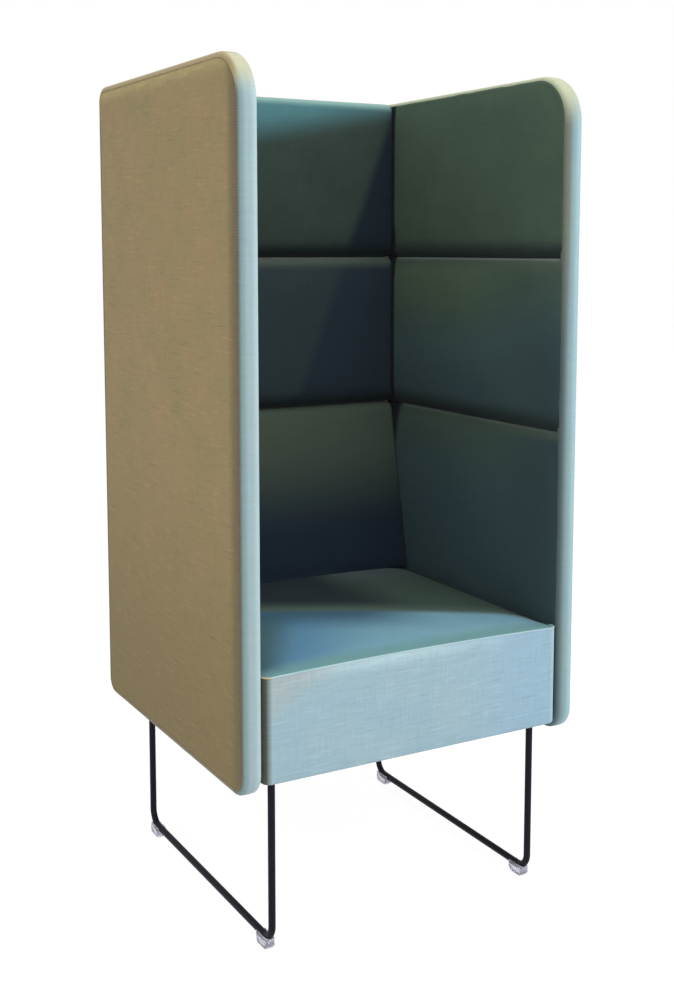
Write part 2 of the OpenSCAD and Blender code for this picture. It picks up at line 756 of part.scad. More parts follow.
// Glide by the front bend, and its like by the rear bend
module front_glide() { glide(glide_front_y, leg_front_y + bend_r, 180); }
module rear_glide() { glide(glide_rear_y, leg_rear_y - bend_r, 270); }

// Countersunk screw through a leg plate into its insert, with a hexagon socket
module leg_screw(y) {
    translate([plate_mid_x, y, plate_z]) difference() {
        union() {
            cylinder(d1 = leg_head_d, d2 = bolt_d, h = head_cone_h);
            cylinder(d = bolt_d, h = leg_screw_l);
        }
        translate([0, 0, -cut]) cylinder(d = socket_d, h = socket_depth + cut, $fn = 6);
    }
}

// Threaded insert in a side rail
module leg_insert(y) {
    translate([plate_mid_x, y, rail_base]) difference() {
        cylinder(d = insert_d, h = insert_l);
        translate([0, 0, -cut]) cylinder(d = bolt_d + 2 * thread_fit, h = insert_l + 2 * cut);
    }
}

// Seat bolt along +X from its washer, with a hexagon socket
module seat_bolt(length) {
    rotate([0, 90, 0]) difference() {
        union() {
            translate([0, 0, -bolt_head_h]) cylinder(d = bolt_head_d, h = bolt_head_h);
            cylinder(d = bolt_d, h = length);
        }
        translate([0, 0, -bolt_head_h - cut])
            cylinder(d = socket_d, h = socket_depth + cut, $fn = 6);
    }
}

// Washer under a seat bolt's head
module washer() {
    rotate([0, 90, 0]) difference() {
        cylinder(d = washer_d, h = washer_t);
        translate([0, 0, -cut]) cylinder(d = bolt_d + 2 * hole_fit, h = washer_t + 2 * cut);
    }
}

// Tee nut whose flange lies at its origin and whose barrel runs along -X
module tee_nut() {
    rotate([0, -90, 0]) difference() {
        union() {
            cylinder(d = tee_d, h = tee_t);
            cylinder(d = tee_barrel_d, h = tee_t + tee_barrel_l);
        }
        translate([0, 0, -cut])
            cylinder(d = bolt_d + 2 * thread_fit, h = tee_t + tee_barrel_l + 2 * cut);
    }
}

// Puts a piece that points along +X at each seat bolt: along X at the sides, along Y at the back
module at_seat_bolts(side_x, rear_y) {
    for (side = [0, 1]) mirror([side, 0, 0]) for (y = seat_bolt_ys)
        translate([side_x, y, rail_mid]) children();
    for (side = [-1, 1]) translate([side * rear_bolt_span / 2, rear_y, rail_mid])
        rotate([0, 0, 90]) children();
}

// Bolt that holds a side board to the back board
module screen_bolt(z) {
    along_x(board_out_x - screen_head_h, board_out_x, back_board_mid_y, z, screen_head_d);
    along_x(board_out_x - screen_bolt_l, board_out_x - screen_head_h, back_board_mid_y, z,
        screen_bolt_d);
}

// Cross nut in the back board, which a screen bolt runs through
module barrel_nut(z) {
    nut_x = board_in_x - end_fit - barrel_in;
    difference() {
        along_y(back_board_mid_y - barrel_l / 2, back_board_mid_y + barrel_l / 2, nut_x, z, barrel_d);
        along_x(nut_x - barrel_d, nut_x + barrel_d, back_board_mid_y, z,
            screen_bolt_d + 2 * thread_fit);
    }
}

// Push-in clip of a pad, pointing into a board along +X
module pad_clip() {
    along_x(0, clip_head_t, 0, 0, clip_head_d);
    along_x(clip_head_t, clip_head_t + clip_l, 0, 0, clip_d);
}

// All clips: four behind each pad
module all_pad_clips() {
    for (side = [0, 1]) mirror([side, 0, 0])
        for (row = side_pad_rows) for (y_share = clip_shares) for (z_share = clip_shares)
            translate([board_in_x, between(side_pad_front, side_pad_rear, y_share),
                between(row[0], row[1], z_share)]) pad_clip();
    for (row = back_pad_rows) for (x_share = clip_shares) for (z_share = clip_shares)
        translate([between(-back_pad_half, back_pad_half, x_share), back_board_y,
            between(row[0], row[1], z_share)]) rotate([0, 0, 90]) pad_clip();
}

module left_outer_cover() { color("#948762") mirror([1, 0, 0]) side_cover(); }
module right_outer_cover() { color("#948762") side_cover(); }
module back_outer_cover() { color("#948762") back_cover(); }
module left_side_board() { color("#c9a878") mirror([1, 0, 0]) side_board(); }
module right_side_board() { color("#c9a878") side_board(); }
module back_board() { color("#c9a878") back_screen_board(); }
module left_pad_lower() { color("#35443f") mirror([1, 0, 0]) side_pad_lower(); }
module left_pad_middle() { color("#35443f") mirror([1, 0, 0]) side_pad_middle(); }
module left_pad_upper() { color("#35443f") mirror([1, 0, 0]) side_pad_upper(); }
module right_pad_lower() { color("#35443f") side_pad_lower(); }
module right_pad_middle() { color("#35443f") side_pad_middle(); }
module right_pad_upper() { color("#35443f") side_pad_upper(); }
module back_pad_lower() { color("#2f3d3b") back_pad(back_pad_rows[0], lumbar_rise); }
module back_pad_middle() { color("#2f3d3b") back_pad(back_pad_rows[1], 0); }
module back_pad_upper() { color("#2f3d3b") back_pad(back_pad_rows[2], 0); }
module seat_border() { color("#9fbbc6") seat_border_piece(); }
module seat_top_pad() { color("#6d9aa8") seat_top_piece(); }
module seat_foam() { color("#e8dfc0") seat_foam_block(); }
module webbing_long() { color("#26262a") webbing_long_bands(); }
module webbing_cross() { color("#26262a") webbing_cross_bands(); }
module seat_front_rail() { color("#d8b98a") front_rail(); }
module seat_rear_rail() { color("#d8b98a") rear_rail(); }
module seat_left_rail() { color("#d8b98a") mirror([1, 0, 0]) side_rail(); }
module seat_right_rail() { color("#d8b98a") side_rail(); }
module seat_cross_rail() { color("#d8b98a") cross_rail(); }
module seat_corner_blocks() { color("#cfae7e") corner_blocks(); }
module left_seat_spacer() { color("#c9a878") mirror([1, 0, 0]) side_spacer(); }
module right_seat_spacer() { color("#c9a878") side_spacer(); }
module rear_seat_spacer() { color("#c9a878") rear_spacer(); }
module dust_cover() { color("#1d1d20") dust_sheet(); }
module left_leg_rod() { color("#1c1b26") mirror([1, 0, 0]) leg_rod(); }
module right_leg_rod() { color("#1c1b26") leg_rod(); }
module left_leg_plate() { color("#1c1b26") mirror([1, 0, 0]) leg_plate(); }
module right_leg_plate() { color("#1c1b26") leg_plate(); }
module glide_front_left() { color("#b9bfdc", 0.6) mirror([1, 0, 0]) front_glide(); }
module glide_front_right() { color("#b9bfdc", 0.6) front_glide(); }
module glide_rear_left() { color("#b9bfdc", 0.6) mirror([1, 0, 0]) rear_glide(); }
module glide_rear_right() { color("#b9bfdc", 0.6) rear_glide(); }
module leg_screws() {
    color("#2b2b30") for (side = [0, 1]) mirror([side, 0, 0]) for (y = leg_screw_ys) leg_screw(y);
}
module leg_inserts() {
    color("#c2a15a") for (side = [0, 1]) mirror([side, 0, 0]) for (y = leg_screw_ys) leg_insert(y);
}
module seat_bolts() {
    color("#8d8f93") {
        for (side = [0, 1]) mirror([side, 0, 0]) for (y = seat_bolt_ys)
            translate([rail_in_x - washer_t, y, rail_mid])
                seat_bolt(washer_t + board_out_x - rail_in_x - tee_t);
        for (side = [-1, 1])
            translate([side * rear_bolt_span / 2, side_rail_rear_y - washer_t, rail_mid])
                rotate([0, 0, 90]) seat_bolt(washer_t + back_board_rear_y - side_rail_rear_y - tee_t);
    }
}
module seat_washers() {
    color("#a5a7aa") at_seat_bolts(rail_in_x - washer_t, side_rail_rear_y - washer_t) washer();
}
module seat_tee_nuts() { color("#a5a7aa") at_seat_bolts(board_out_x, back_board_rear_y) tee_nut(); }
module screen_bolts() {
    color("#8d8f93") for (side = [0, 1]) mirror([side, 0, 0]) for (z = joint_heights) screen_bolt(z);
}
module barrel_nuts() {
    color("#a5a7aa") for (side = [0, 1]) mirror([side, 0, 0]) for (z = joint_heights) barrel_nut(z);
}
module pad_clips() { color("#e6e6e2") all_pad_clips(); }

left_outer_cover();
right_outer_cover();
back_outer_cover();
left_side_board();
right_side_board();
back_board();
left_pad_lower();
left_pad_middle();
left_pad_upper();
right_pad_lower();
right_pad_middle();
right_pad_upper();
back_pad_lower();
back_pad_middle();
back_pad_upper();
seat_border();
seat_top_pad();
seat_foam();
webbing_long();
webbing_cross();
seat_front_rail();
seat_rear_rail();
seat_left_rail();
seat_right_rail();
seat_cross_rail();
seat_corner_blocks();
left_seat_spacer();
right_seat_spacer();
rear_seat_spacer();
dust_cover();
left_leg_rod();
right_leg_rod();
left_leg_plate();
right_leg_plate();
glide_front_left();
glide_front_right();
glide_rear_left();
glide_rear_right();
leg_screws();
leg_inserts();
seat_bolts();
seat_washers();
seat_tee_nuts();
screen_bolts();
barrel_nuts();
pad_clips();
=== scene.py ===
import math

import bmesh
import bpy
import numpy as np
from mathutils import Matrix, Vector, noise


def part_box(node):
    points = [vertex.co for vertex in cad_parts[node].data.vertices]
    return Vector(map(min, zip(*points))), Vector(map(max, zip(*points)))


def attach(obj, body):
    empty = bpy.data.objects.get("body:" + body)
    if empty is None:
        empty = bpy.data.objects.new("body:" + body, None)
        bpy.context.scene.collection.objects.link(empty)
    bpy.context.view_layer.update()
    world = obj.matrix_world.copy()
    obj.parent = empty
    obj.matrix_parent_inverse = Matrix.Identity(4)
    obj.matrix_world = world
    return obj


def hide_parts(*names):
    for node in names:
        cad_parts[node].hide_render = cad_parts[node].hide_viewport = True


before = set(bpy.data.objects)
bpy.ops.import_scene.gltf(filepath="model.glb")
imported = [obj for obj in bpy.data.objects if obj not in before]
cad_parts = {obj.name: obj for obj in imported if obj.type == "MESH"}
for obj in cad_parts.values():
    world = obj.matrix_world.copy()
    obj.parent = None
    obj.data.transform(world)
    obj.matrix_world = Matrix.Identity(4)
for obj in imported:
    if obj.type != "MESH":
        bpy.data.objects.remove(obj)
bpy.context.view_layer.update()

scene = bpy.context.scene
scene.view_settings.view_transform = "Standard"


# Viewpoint
# Someone stands in front of the chair and to its left, a little below the screens' top, and
# looks slightly down. The lens is a short telephoto one with a small drop of its axis.
viewpoint = bpy.data.objects.new("viewpoint", bpy.data.cameras.new("viewpoint"))
scene.collection.objects.link(viewpoint)
viewpoint.location = (-1.14505, -2.06326, 1.12643)
viewpoint.rotation_euler = (math.radians(90 - 6.39), 0, math.radians(-29.36))
viewpoint.data.lens = 47.256
viewpoint.data.sensor_width = 36
viewpoint.data.shift_x = -0.0005
viewpoint.data.shift_y = -0.1044
scene.camera = viewpoint


# Floor and background
# A matt white floor that runs out of sight. The eye sees it and the wall behind as plain white
# paper, with a fifth of the lamps' own light on it, so that it keeps the chair's soft shadow.
FLOOR_HALF = 12
GLOW_SHARE = 0.8


def linear(code):
    """Turns an sRGB hex value into linear red, green, blue and alpha."""
    channels = [int(code[i:i + 2], 16) / 255 for i in (1, 3, 5)]
    return [c / 12.92 if c <= 0.04045 else ((c + 0.055) / 1.055) ** 2.4 for c in channels] + [1]


def add(tree, kind, links, **settings):
    """Adds a node with its settings, and links or sets its sockets."""
    made = tree.nodes.new(kind)
    for key, value in settings.items():
        setattr(made, key, value)
    for key, value in links.items():
        if isinstance(value, bpy.types.NodeSocket):
            tree.links.new(value, made.inputs[key])
        else:
            made.inputs[key].default_value = value
    return made


def blank_material(name):
    """Starts a material with nothing but its output."""
    made = bpy.data.materials.new(name)
    made.use_nodes = True
    made.node_tree.nodes.clear()
    return made, made.node_tree


def seen_directly(tree):
    """Is 1 for what the eye sees, straight, in a reflection or through clear plastic."""
    ray = add(tree, "ShaderNodeLightPath", {}).outputs
    mirror = add(tree, "ShaderNodeMath", {0: ray["Is Camera Ray"], 1: ray["Is Glossy Ray"]}, operation="ADD")
    through = add(tree, "ShaderNodeMath", {0: mirror.outputs[0], 1: ray["Is Transmission Ray"]},
                  operation="ADD", use_clamp=True)
    return through.outputs[0]


floor_mesh = bpy.data.meshes.new("studio_floor")
floor_mesh.from_pydata([(FLOOR_HALF * x, FLOOR_HALF * y, 0) for x, y in ((-1, -1), (1, -1), (1, 1), (-1, 1))],
                       [], [(0, 1, 2, 3)])
floor = bpy.data.objects.new("studio_floor", floor_mesh)
scene.collection.objects.link(floor)
white_paper, tree = blank_material("white_paper")
matt = add(tree, "ShaderNodeBsdfDiffuse", {"Color": linear("#f4f4f2"), "Roughness": 1.0})
glow = add(tree, "ShaderNodeEmission", {"Color": linear("#ffffff"), "Strength": 1.14})
share = add(tree, "ShaderNodeMath", {0: seen_directly(tree), 1: GLOW_SHARE}, operation="MULTIPLY")
paper = add(tree, "ShaderNodeMixShader", {0: share.outputs[0], 1: matt.outputs[0], 2: glow.outputs[0]})
add(tree, "ShaderNodeOutputMaterial", {"Surface": paper.outputs[0]})
floor_mesh.materials.append(white_paper)


# Lamps
# A pale room with two large soft boxes in front, one on the left and one above. All are square,
# plain white and about two metres wide, so the shadows stay soft.
sky = bpy.data.worlds.new("pale_room")
sky.use_nodes = True
tree = sky.node_tree
tree.nodes.clear()
room = add(tree, "ShaderNodeBackground", {"Color": linear("#ffffff"), "Strength": 0.53})
wall = add(tree, "ShaderNodeBackground", {"Color": linear("#ffffff"), "Strength": 1.0})
backdrop = add(tree, "ShaderNodeMixShader", {0: seen_directly(tree), 1: room.outputs[0], 2: wall.outputs[0]})
add(tree, "ShaderNodeOutputWorld", {"Surface": backdrop.outputs[0]})
scene.world = sky


def soft_box(name, place, aim, side, watts):
    """Hangs a square soft lamp at a place and aims it at a point."""
    lamp = bpy.data.objects.new(name, bpy.data.lights.new(name, "AREA"))
    lamp.data.shape = "SQUARE"
    lamp.data.size = side
    lamp.data.energy = watts
    lamp.location = place
    lamp.rotation_euler = (Vector(aim) - Vector(place)).to_track_quat("-Z", "Y").to_euler()
    scene.collection.objects.link(lamp)


soft_box("front_box", (1.5, -3.4, 2.1), (0, 0, 0.8), 2.4, 37)
soft_box("fill_box", (-1.7, -3.5, 1.5), (0, 0, 0.8), 2.2, 22)
soft_box("left_box", (-3.4, -0.6, 1.9), (0, 0, 0.8), 2.2, 21)
soft_box("top_box", (0.3, -0.5, 3.6), (0, 0, 0.5), 2.0, 44)


# Outer cloth
# A wool-blend upholstery cloth in plain weave. Thick uneven threads, the slubs, run as short
# streaks both ways, and the yarn is mottled. It is matt, with the faint sheen of fine hairs.
THREAD = 0.0011
SLUB_LONG = 0.070
SLUB_THICK = 0.0045
FLECK_LONG = 0.050
FLECK_THICK = 0.0042
MOTTLE = 1 / 9
UP, DOWN = (0, 0, 1), (0, 0, -1)
REAR, FRONT = (0, 1, 0), (0, -1, 0)
RIGHT, LEFT = (1, 0, 0), (-1, 0, 0)
ACROSS = (1, 0)


def wool_cloth(name, shade, twin, washes, slub=0.03, fleck=0.09, sheen=0.1):
    """Woven cloth of two close shades. A wash adds a third one between two places along a direction,
    which has three parts on the chair, or two on the cloth itself. Most washes on the chair are painted
    light and shade, told where each cloth is given."""
    cloth, tree = blank_material(name)
    spot = add(tree, "ShaderNodeTexCoord", {})
    threads = spot.outputs["UV"]
    cloud = add(tree, "ShaderNodeTexNoise", {"Vector": threads, "Scale": 1 / MOTTLE, "Detail": 6.0,
                                             "Roughness": 0.62})
    patchy = add(tree, "ShaderNodeMapRange", {"Value": cloud.outputs[0], "From Min": 0.38, "From Max": 0.62})
    tone = add(tree, "ShaderNodeMix", {0: patchy.outputs[0], 6: linear(shade), 7: linear(twin)},
               data_type="RGBA").outputs[2]
    for third, reaches in washes:
        amount = 1.0
        for direction, start, end in reaches:
            where = threads if len(direction) == 2 else spot.outputs["Object"]
            along = add(tree, "ShaderNodeVectorMath", {0: where, 1: (direction + (0,))[:3]},
                        operation="DOT_PRODUCT")
            step = add(tree, "ShaderNodeMapRange", {"Value": along.outputs["Value"], "From Min": start,
                                                    "From Max": end}, interpolation_type="SMOOTHSTEP")
            both = add(tree, "ShaderNodeMath", {0: step.outputs[0], 1: amount}, operation="MULTIPLY")
            amount = both.outputs[0]
        tone = add(tree, "ShaderNodeMix", {0: amount, 6: tone, 7: linear(third)}, data_type="RGBA").outputs[2]

    # Slubs and flecks: noise drawn out along the weft and, weaker, along the warp. Between two of its
    # levels the shade goes from the least to the most change
    level = 1.0
    for long, thick, low, high, least, most in ((SLUB_LONG, SLUB_THICK, 0.3, 0.7, -slub, slub),
                                                (FLECK_LONG, FLECK_THICK, 0.59, 0.68, 0.0, fleck),
                                                (FLECK_LONG, FLECK_THICK, 0.40, 0.30, 0.0, -fleck)):
        for scale, share in (((1 / long, 1 / thick, 1), 1.0), ((1 / thick, 1 / long, 1), 0.6)):
            run = add(tree, "ShaderNodeMapping", {"Vector": threads, "Scale": scale,
                                                  "Location": (low, high, 0)})
            streak = add(tree, "ShaderNodeTexNoise", {"Vector": run.outputs[0], "Scale": 1.0, "Detail": 2.0,
                                                      "Roughness": 0.55})
            reach = add(tree, "ShaderNodeMapRange", {"Value": streak.outputs[0], "From Min": low,
                                                     "From Max": high, "To Min": least * share,
                                                     "To Max": most * share})
            level = add(tree, "ShaderNodeMath", {0: reach.outputs[0], 1: level}, operation="ADD").outputs[0]
    tone = add(tree, "ShaderNodeMix", {0: 1.0, 6: tone, 7: level}, data_type="RGBA",
               blend_type="MULTIPLY").outputs[2]

    # Weave: one wave for the warp and one for the weft, drawn twice as coarse as real to show. A wave
    # of scale s repeats every pi / (10 s)
    waves = []
    for direction in ("X", "Y"):
        wave = add(tree, "ShaderNodeTexWave", {"Vector": threads, "Scale": math.pi / (10 * 2 * THREAD),
                                               "Distortion": 5.0, "Detail": 2.0, "Detail Scale": 0.6},
                   bands_direction=direction)
        waves.append(wave.outputs["Fac"])
    crossing = add(tree, "ShaderNodeMath", {0: waves[0], 1: waves[1]}, operation="MULTIPLY")
    height = add(tree, "ShaderNodeMath", {0: level, 1: 2.0, 2: crossing.outputs[0]}, operation="MULTIPLY_ADD")
    relief = add(tree, "ShaderNodeBump", {"Height": height.outputs[0], "Strength": 0.3, "Distance": 0.0006})
    surface = add(tree, "ShaderNodeBsdfPrincipled", {"Base Color": tone, "Roughness": 0.93, "IOR": 1.45,
                                                     "Specular IOR Level": 0.2, "Sheen Weight": sheen,
                                                     "Sheen Roughness": 0.5, "Normal": relief.outputs[0]})
    add(tree, "ShaderNodeOutputMaterial", {"Surface": surface.outputs[0]})
    return cloth


# Side screens
# Each is a plywood board under 6 mm of foam. An olive-brown cloth panel covers the outer face, and
# a pale band runs round the edges. The two are joined by a hand-sewn seam on the outer face.
WELD = 2e-5
SLIVER = 1e-5
TURNED_IN = 0.01
ARC_STEPS = 14


def sew(name, patches, cloth, *nodes):
    """Joins patches of cloth into one piece. A patch is a net of points and its thread positions."""
    points, threads, faces = [], [], []
    for net, thread in patches:
        rows, cols = net.shape[:2]
        first = len(points)
        points.extend(net.reshape(-1, 3).tolist())
        threads.extend(thread.reshape(-1, 2).tolist())
        for r in range(rows - 1):
            for c in range(cols - 1):
                a = first + r * cols + c
                faces.append((a, a + 1, a + cols + 1, a + cols))
    mesh = bpy.data.meshes.new(name)
    mesh.from_pydata(points, [], faces)
    corners = np.zeros(len(mesh.loops), np.int32)
    mesh.loops.foreach_get("vertex_index", corners)
    mesh.uv_layers.new(name="threads").data.foreach_set("uv", np.array(threads, np.float32)[corners].ravel())
    work = bmesh.new()
    work.from_mesh(mesh)
    bmesh.ops.remove_doubles(work, verts=work.verts, dist=WELD)
    bmesh.ops.dissolve_degenerate(work, edges=work.edges, dist=SLIVER)
    bmesh.ops.recalc_face_normals(work, faces=work.faces)
    work.to_mesh(mesh)
    work.free()
    mesh.polygons.foreach_set("use_smooth", [True] * len(mesh.polygons))
    mesh.materials.append(cloth)
    piece = bpy.data.objects.new(name, mesh)
    scene.collection.objects.link(piece)
    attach(piece, "root")
    if nodes:
        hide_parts(*nodes)
    return piece


def closed(face, back, threads):
    """Patches of a closed piece: its face, its back and the cloth turned in between their edges."""
    patches = [(face, threads), (back, threads)]
    for edge in (lambda g: g[0], lambda g: g[-1], lambda g: g[:, 0], lambda g: g[:, -1]):
        patches.append((np.stack([edge(face), edge(back)]),
                        np.stack([edge(threads), edge(threads) + TURNED_IN])))
    return patches


def lines(low, high, fine, step):
    """Grid lines from low to high: close to each other near the ends, a step apart between them."""
    count = max(2, round((high - low - 2 * fine[-1]) / step) + 1)
    ends = np.array(fine[:-1])
    inner = np.linspace(low + fine[-1], high - fine[-1], count)
    return np.concatenate([low + ends, inner, high - ends[::-1]])


def grid(low, high, fine, step):
    """Places along and up over a rectangle, on such lines both ways, and its thread positions."""
    a, b = np.meshgrid(*(lines(low[k], high[k], fine, step) for k in (0, 1)))
    return a, b, np.stack([a, b], -1)


def roll(gap, width):
    """Height of a round edge, as a share of the whole, at a distance from the seam."""
    return np.sqrt(np.maximum(0, 1 - (1 - np.minimum(gap / width, 1)) ** 2))


def round_corners(a, b, low, high, radii):
    """Bends a rectangular grid into round corners. Also gives each point's distance from the outline."""
    a_new, b_new = a.copy(), b.copy()
    gap_a = np.minimum(a - low[0], high[0] - a)
    gap_b = np.minimum(b - low[1], high[1] - b)
    rim = np.minimum(gap_a, gap_b)
    for (side_a, side_b), r in radii.items():
        edge_a = high[0] if side_a > 0 else low[0]
        edge_b = high[1] if side_b > 0 else low[1]
        p = (side_a * (a - edge_a) + r) / r
        q = (side_b * (b - edge_b) + r) / r
        inside = (p > 0) & (q > 0)
        far = np.maximum(np.maximum(p, q), 1e-9)
        near = np.minimum(p, q) / far
        turn = np.where(p >= q, near * math.pi / 4, math.pi / 2 - near * math.pi / 4)
        a_new = np.where(inside, edge_a + side_a * r * (far * np.cos(turn) - 1), a_new)
        b_new = np.where(inside, edge_b + side_b * r * (far * np.sin(turn) - 1), b_new)
        rim = np.where(inside, r * (1 - far), rim)
    return a_new, b_new, rim


def outline(low, high, radii, inset, line_step=0.02):
    """Points of a closed outline with round corners, drawn in by an inset, and their distance along it."""
    corners = []
    for (side_a, side_b), start in (((1, -1), -90), ((1, 1), 0), ((-1, 1), 90), ((-1, -1), 180)):
        r = radii[(side_a, side_b)]
        edges = np.array([high[0] if side_a > 0 else low[0], high[1] if side_b > 0 else low[1]])
        corners.append((edges - np.array([side_a, side_b]) * r, r, start))
    found, run = [], []
    walked = 0.0
    for (centre, r, start), (following, r_next, next_start) in zip(corners, corners[1:] + corners[:1]):
        for i in range(ARC_STEPS + 1):
            turn = math.radians(start + 90 * i / ARC_STEPS)
            found.append(centre + (r - inset) * np.array([math.cos(turn), math.sin(turn)]))
            run.append(walked + math.pi / 2 * r * i / ARC_STEPS)
        walked += math.pi / 2 * r
        turn = math.radians(next_start)
        end = found[-1]
        goal = following + (r_next - inset) * np.array([math.cos(turn), math.sin(turn)])
        length = float(np.linalg.norm(goal - end))
        count = max(1, round(math.dist(centre, following) / line_step))
        for i in range(1, count):
            found.append(end + (goal - end) * i / count)
            run.append(walked + length * i / count)
        walked += length
    return np.array(found + found[:1]), np.array(run + [walked])


def wobble(points, amount, size, seed):
    """Small even unevenness of hand work, from -amount to amount, for an array of points."""
    flat = points.reshape(-1, points.shape[-1])
    shift = np.array([seed * 3.1, seed * 1.7, seed * 2.3])
    found = [noise.noise(Vector((list(p) + [0, 0])[:3]) / size + Vector(shift)) for p in flat]
    return amount * np.array(found).reshape(points.shape[:-1])


ARRIS = 0.0075
SEAM_IN = 0.0098
CORNERS = {(-1, -1): 0.040, (-1, 1): 0.082, (1, 1): 0.028, (1, -1): 0.028}
COVER_DEPTH = 0.0058
MARGIN = 0.003
MARGIN_DROP = 0.0016
MARGIN_LINES = [0, 0.0006, 0.0016, MARGIN, 0.006, 0.012]
SEAM_FOLD = ((0, 0.0034), (0.0001, 0.0016), (0.0007, 0.0005), (0.0018, 0))
FOLD_CLOTH = 0.004
EDGE_CROWN = 0.0003
TUCK, TUCK_DEPTH = 0.015, 0.002
HEM, HEM_DEPTH = 0.010, 0.003
FOAM_DEPTH = 0.0062
FADE = 0.03
TRACE = 0.001
STITCH_PITCH = 0.0045
STITCH_IN, STITCH_OUT = 0.0016, 0.0014
STITCH_SLANT = 0.0008
STITCH_THICK = 0.0009
STITCH_SUNK = 0.0005
TWIST = 1 / 90
# Painted light on the outer cloth: a painted warm highlight along the top edges, where light falls from
# above. The panel is also darker towards its front seam and towards the bottom.
panel_cloth = wool_cloth("olive_wool_cloth", "#92845c", "#9b8560",
                         [("#867650", [(UP, 0.85, 0.28)]), ("#ab9c6c", [(UP, 1.384, 1.410)]),
                          ("#756849", [(REAR, -0.252, -0.284)]), ("#6d6154", [(REAR, -0.284, -0.2945)])],
                         fleck=0.15)
band_cloths = {
    # Painted light on the left band: painted shade on its outer arris and at the seam, a painted highlight on
    # its inner edge, and a painted warm highlight along its top. It is tan near the seam at the top and along
    # the top at the front, and greyer at its lower front.
    "left": wool_cloth("pale_wool_cloth", "#a0b6be", "#9fb8bc",
                       [("#86a0a3", [(ACROSS, 0.018, 0.008)]), ("#6d7363", [(ACROSS, 0.0085, 0.0005)]),
                        ("#c0d8de", [(ACROSS, 0.020, 0.038)]), ("#bcbc9f", [(UP, 1.345, 1.40)]),
                        ("#a3946b", [(ACROSS, 0.014, 0.005), (UP, 1.36, 1.395)]),
                        ("#ab9c77", [(UP, 1.392, 1.404), (REAR, -0.262, -0.235)]),
                        ("#8b8271", [(REAR, -0.272, -0.255), (DOWN, -0.300, -0.284)])],
                       slub=0.02, fleck=0.05),
    # The right band is the same cloth in painted shade: darker on its inner arris, with a tan-grey tint
    # there, lighter towards its outer side, and with a painted warm highlight along its top.
    "right": wool_cloth("pale_wool_cloth_in_shade", "#8ba7b0", "#8faaac",
                        [("#5f7071", [(ACROSS, 0.022, 0.038)]), ("#a5c7d2", [(ACROSS, 0.024, 0.012)]),
                         ("#7a7e72", [(ACROSS, 0.026, 0.036), (UP, 0.9, 1.2)]),
                         ("#b4bb9e", [(UP, 1.32, 1.40)])], slub=0.02, fleck=0.05)}
stitch_thread, tree = blank_material("sewing_thread")
spot = add(tree, "ShaderNodeTexCoord", {}).outputs["Object"]
twist = add(tree, "ShaderNodeTexNoise", {"Vector": spot, "Scale": 1 / TWIST, "Detail": 2.0})
colour = add(tree, "ShaderNodeMix", {0: twist.outputs[0], 6: linear("#7b5f52"), 7: linear("#c6b795")},
             data_type="RGBA")
fibre = add(tree, "ShaderNodeBsdfPrincipled", {"Base Color": colour.outputs[2], "Roughness": 0.7})
add(tree, "ShaderNodeOutputMaterial", {"Surface": fibre.outputs[0]})


def stitches(name, starts, ends, up, thick):
    """Short threads from the starts to the ends, thin at both and raised between them."""
    patches = []
    for start, end in zip(starts, ends):
        along = end - start
        side = np.cross(along, up)
        side /= np.linalg.norm(side)
        rings = []
        for share, full in ((0.0, 0.4), (0.3, 1.0), (0.7, 1.0), (1.0, 0.4)):
            middle = start + along * share + up * (thick * 0.9 * math.sin(math.pi * share) - thick * 0.2)
            turns = [k * math.tau / 5 for k in range(6)]
            rings.append([middle + thick / 2 * full * (math.cos(t) * side + math.sin(t) * up) for t in turns])
        patches.append((np.array(rings), np.zeros((4, 6, 2))))
    sew(name, patches, stitch_thread)


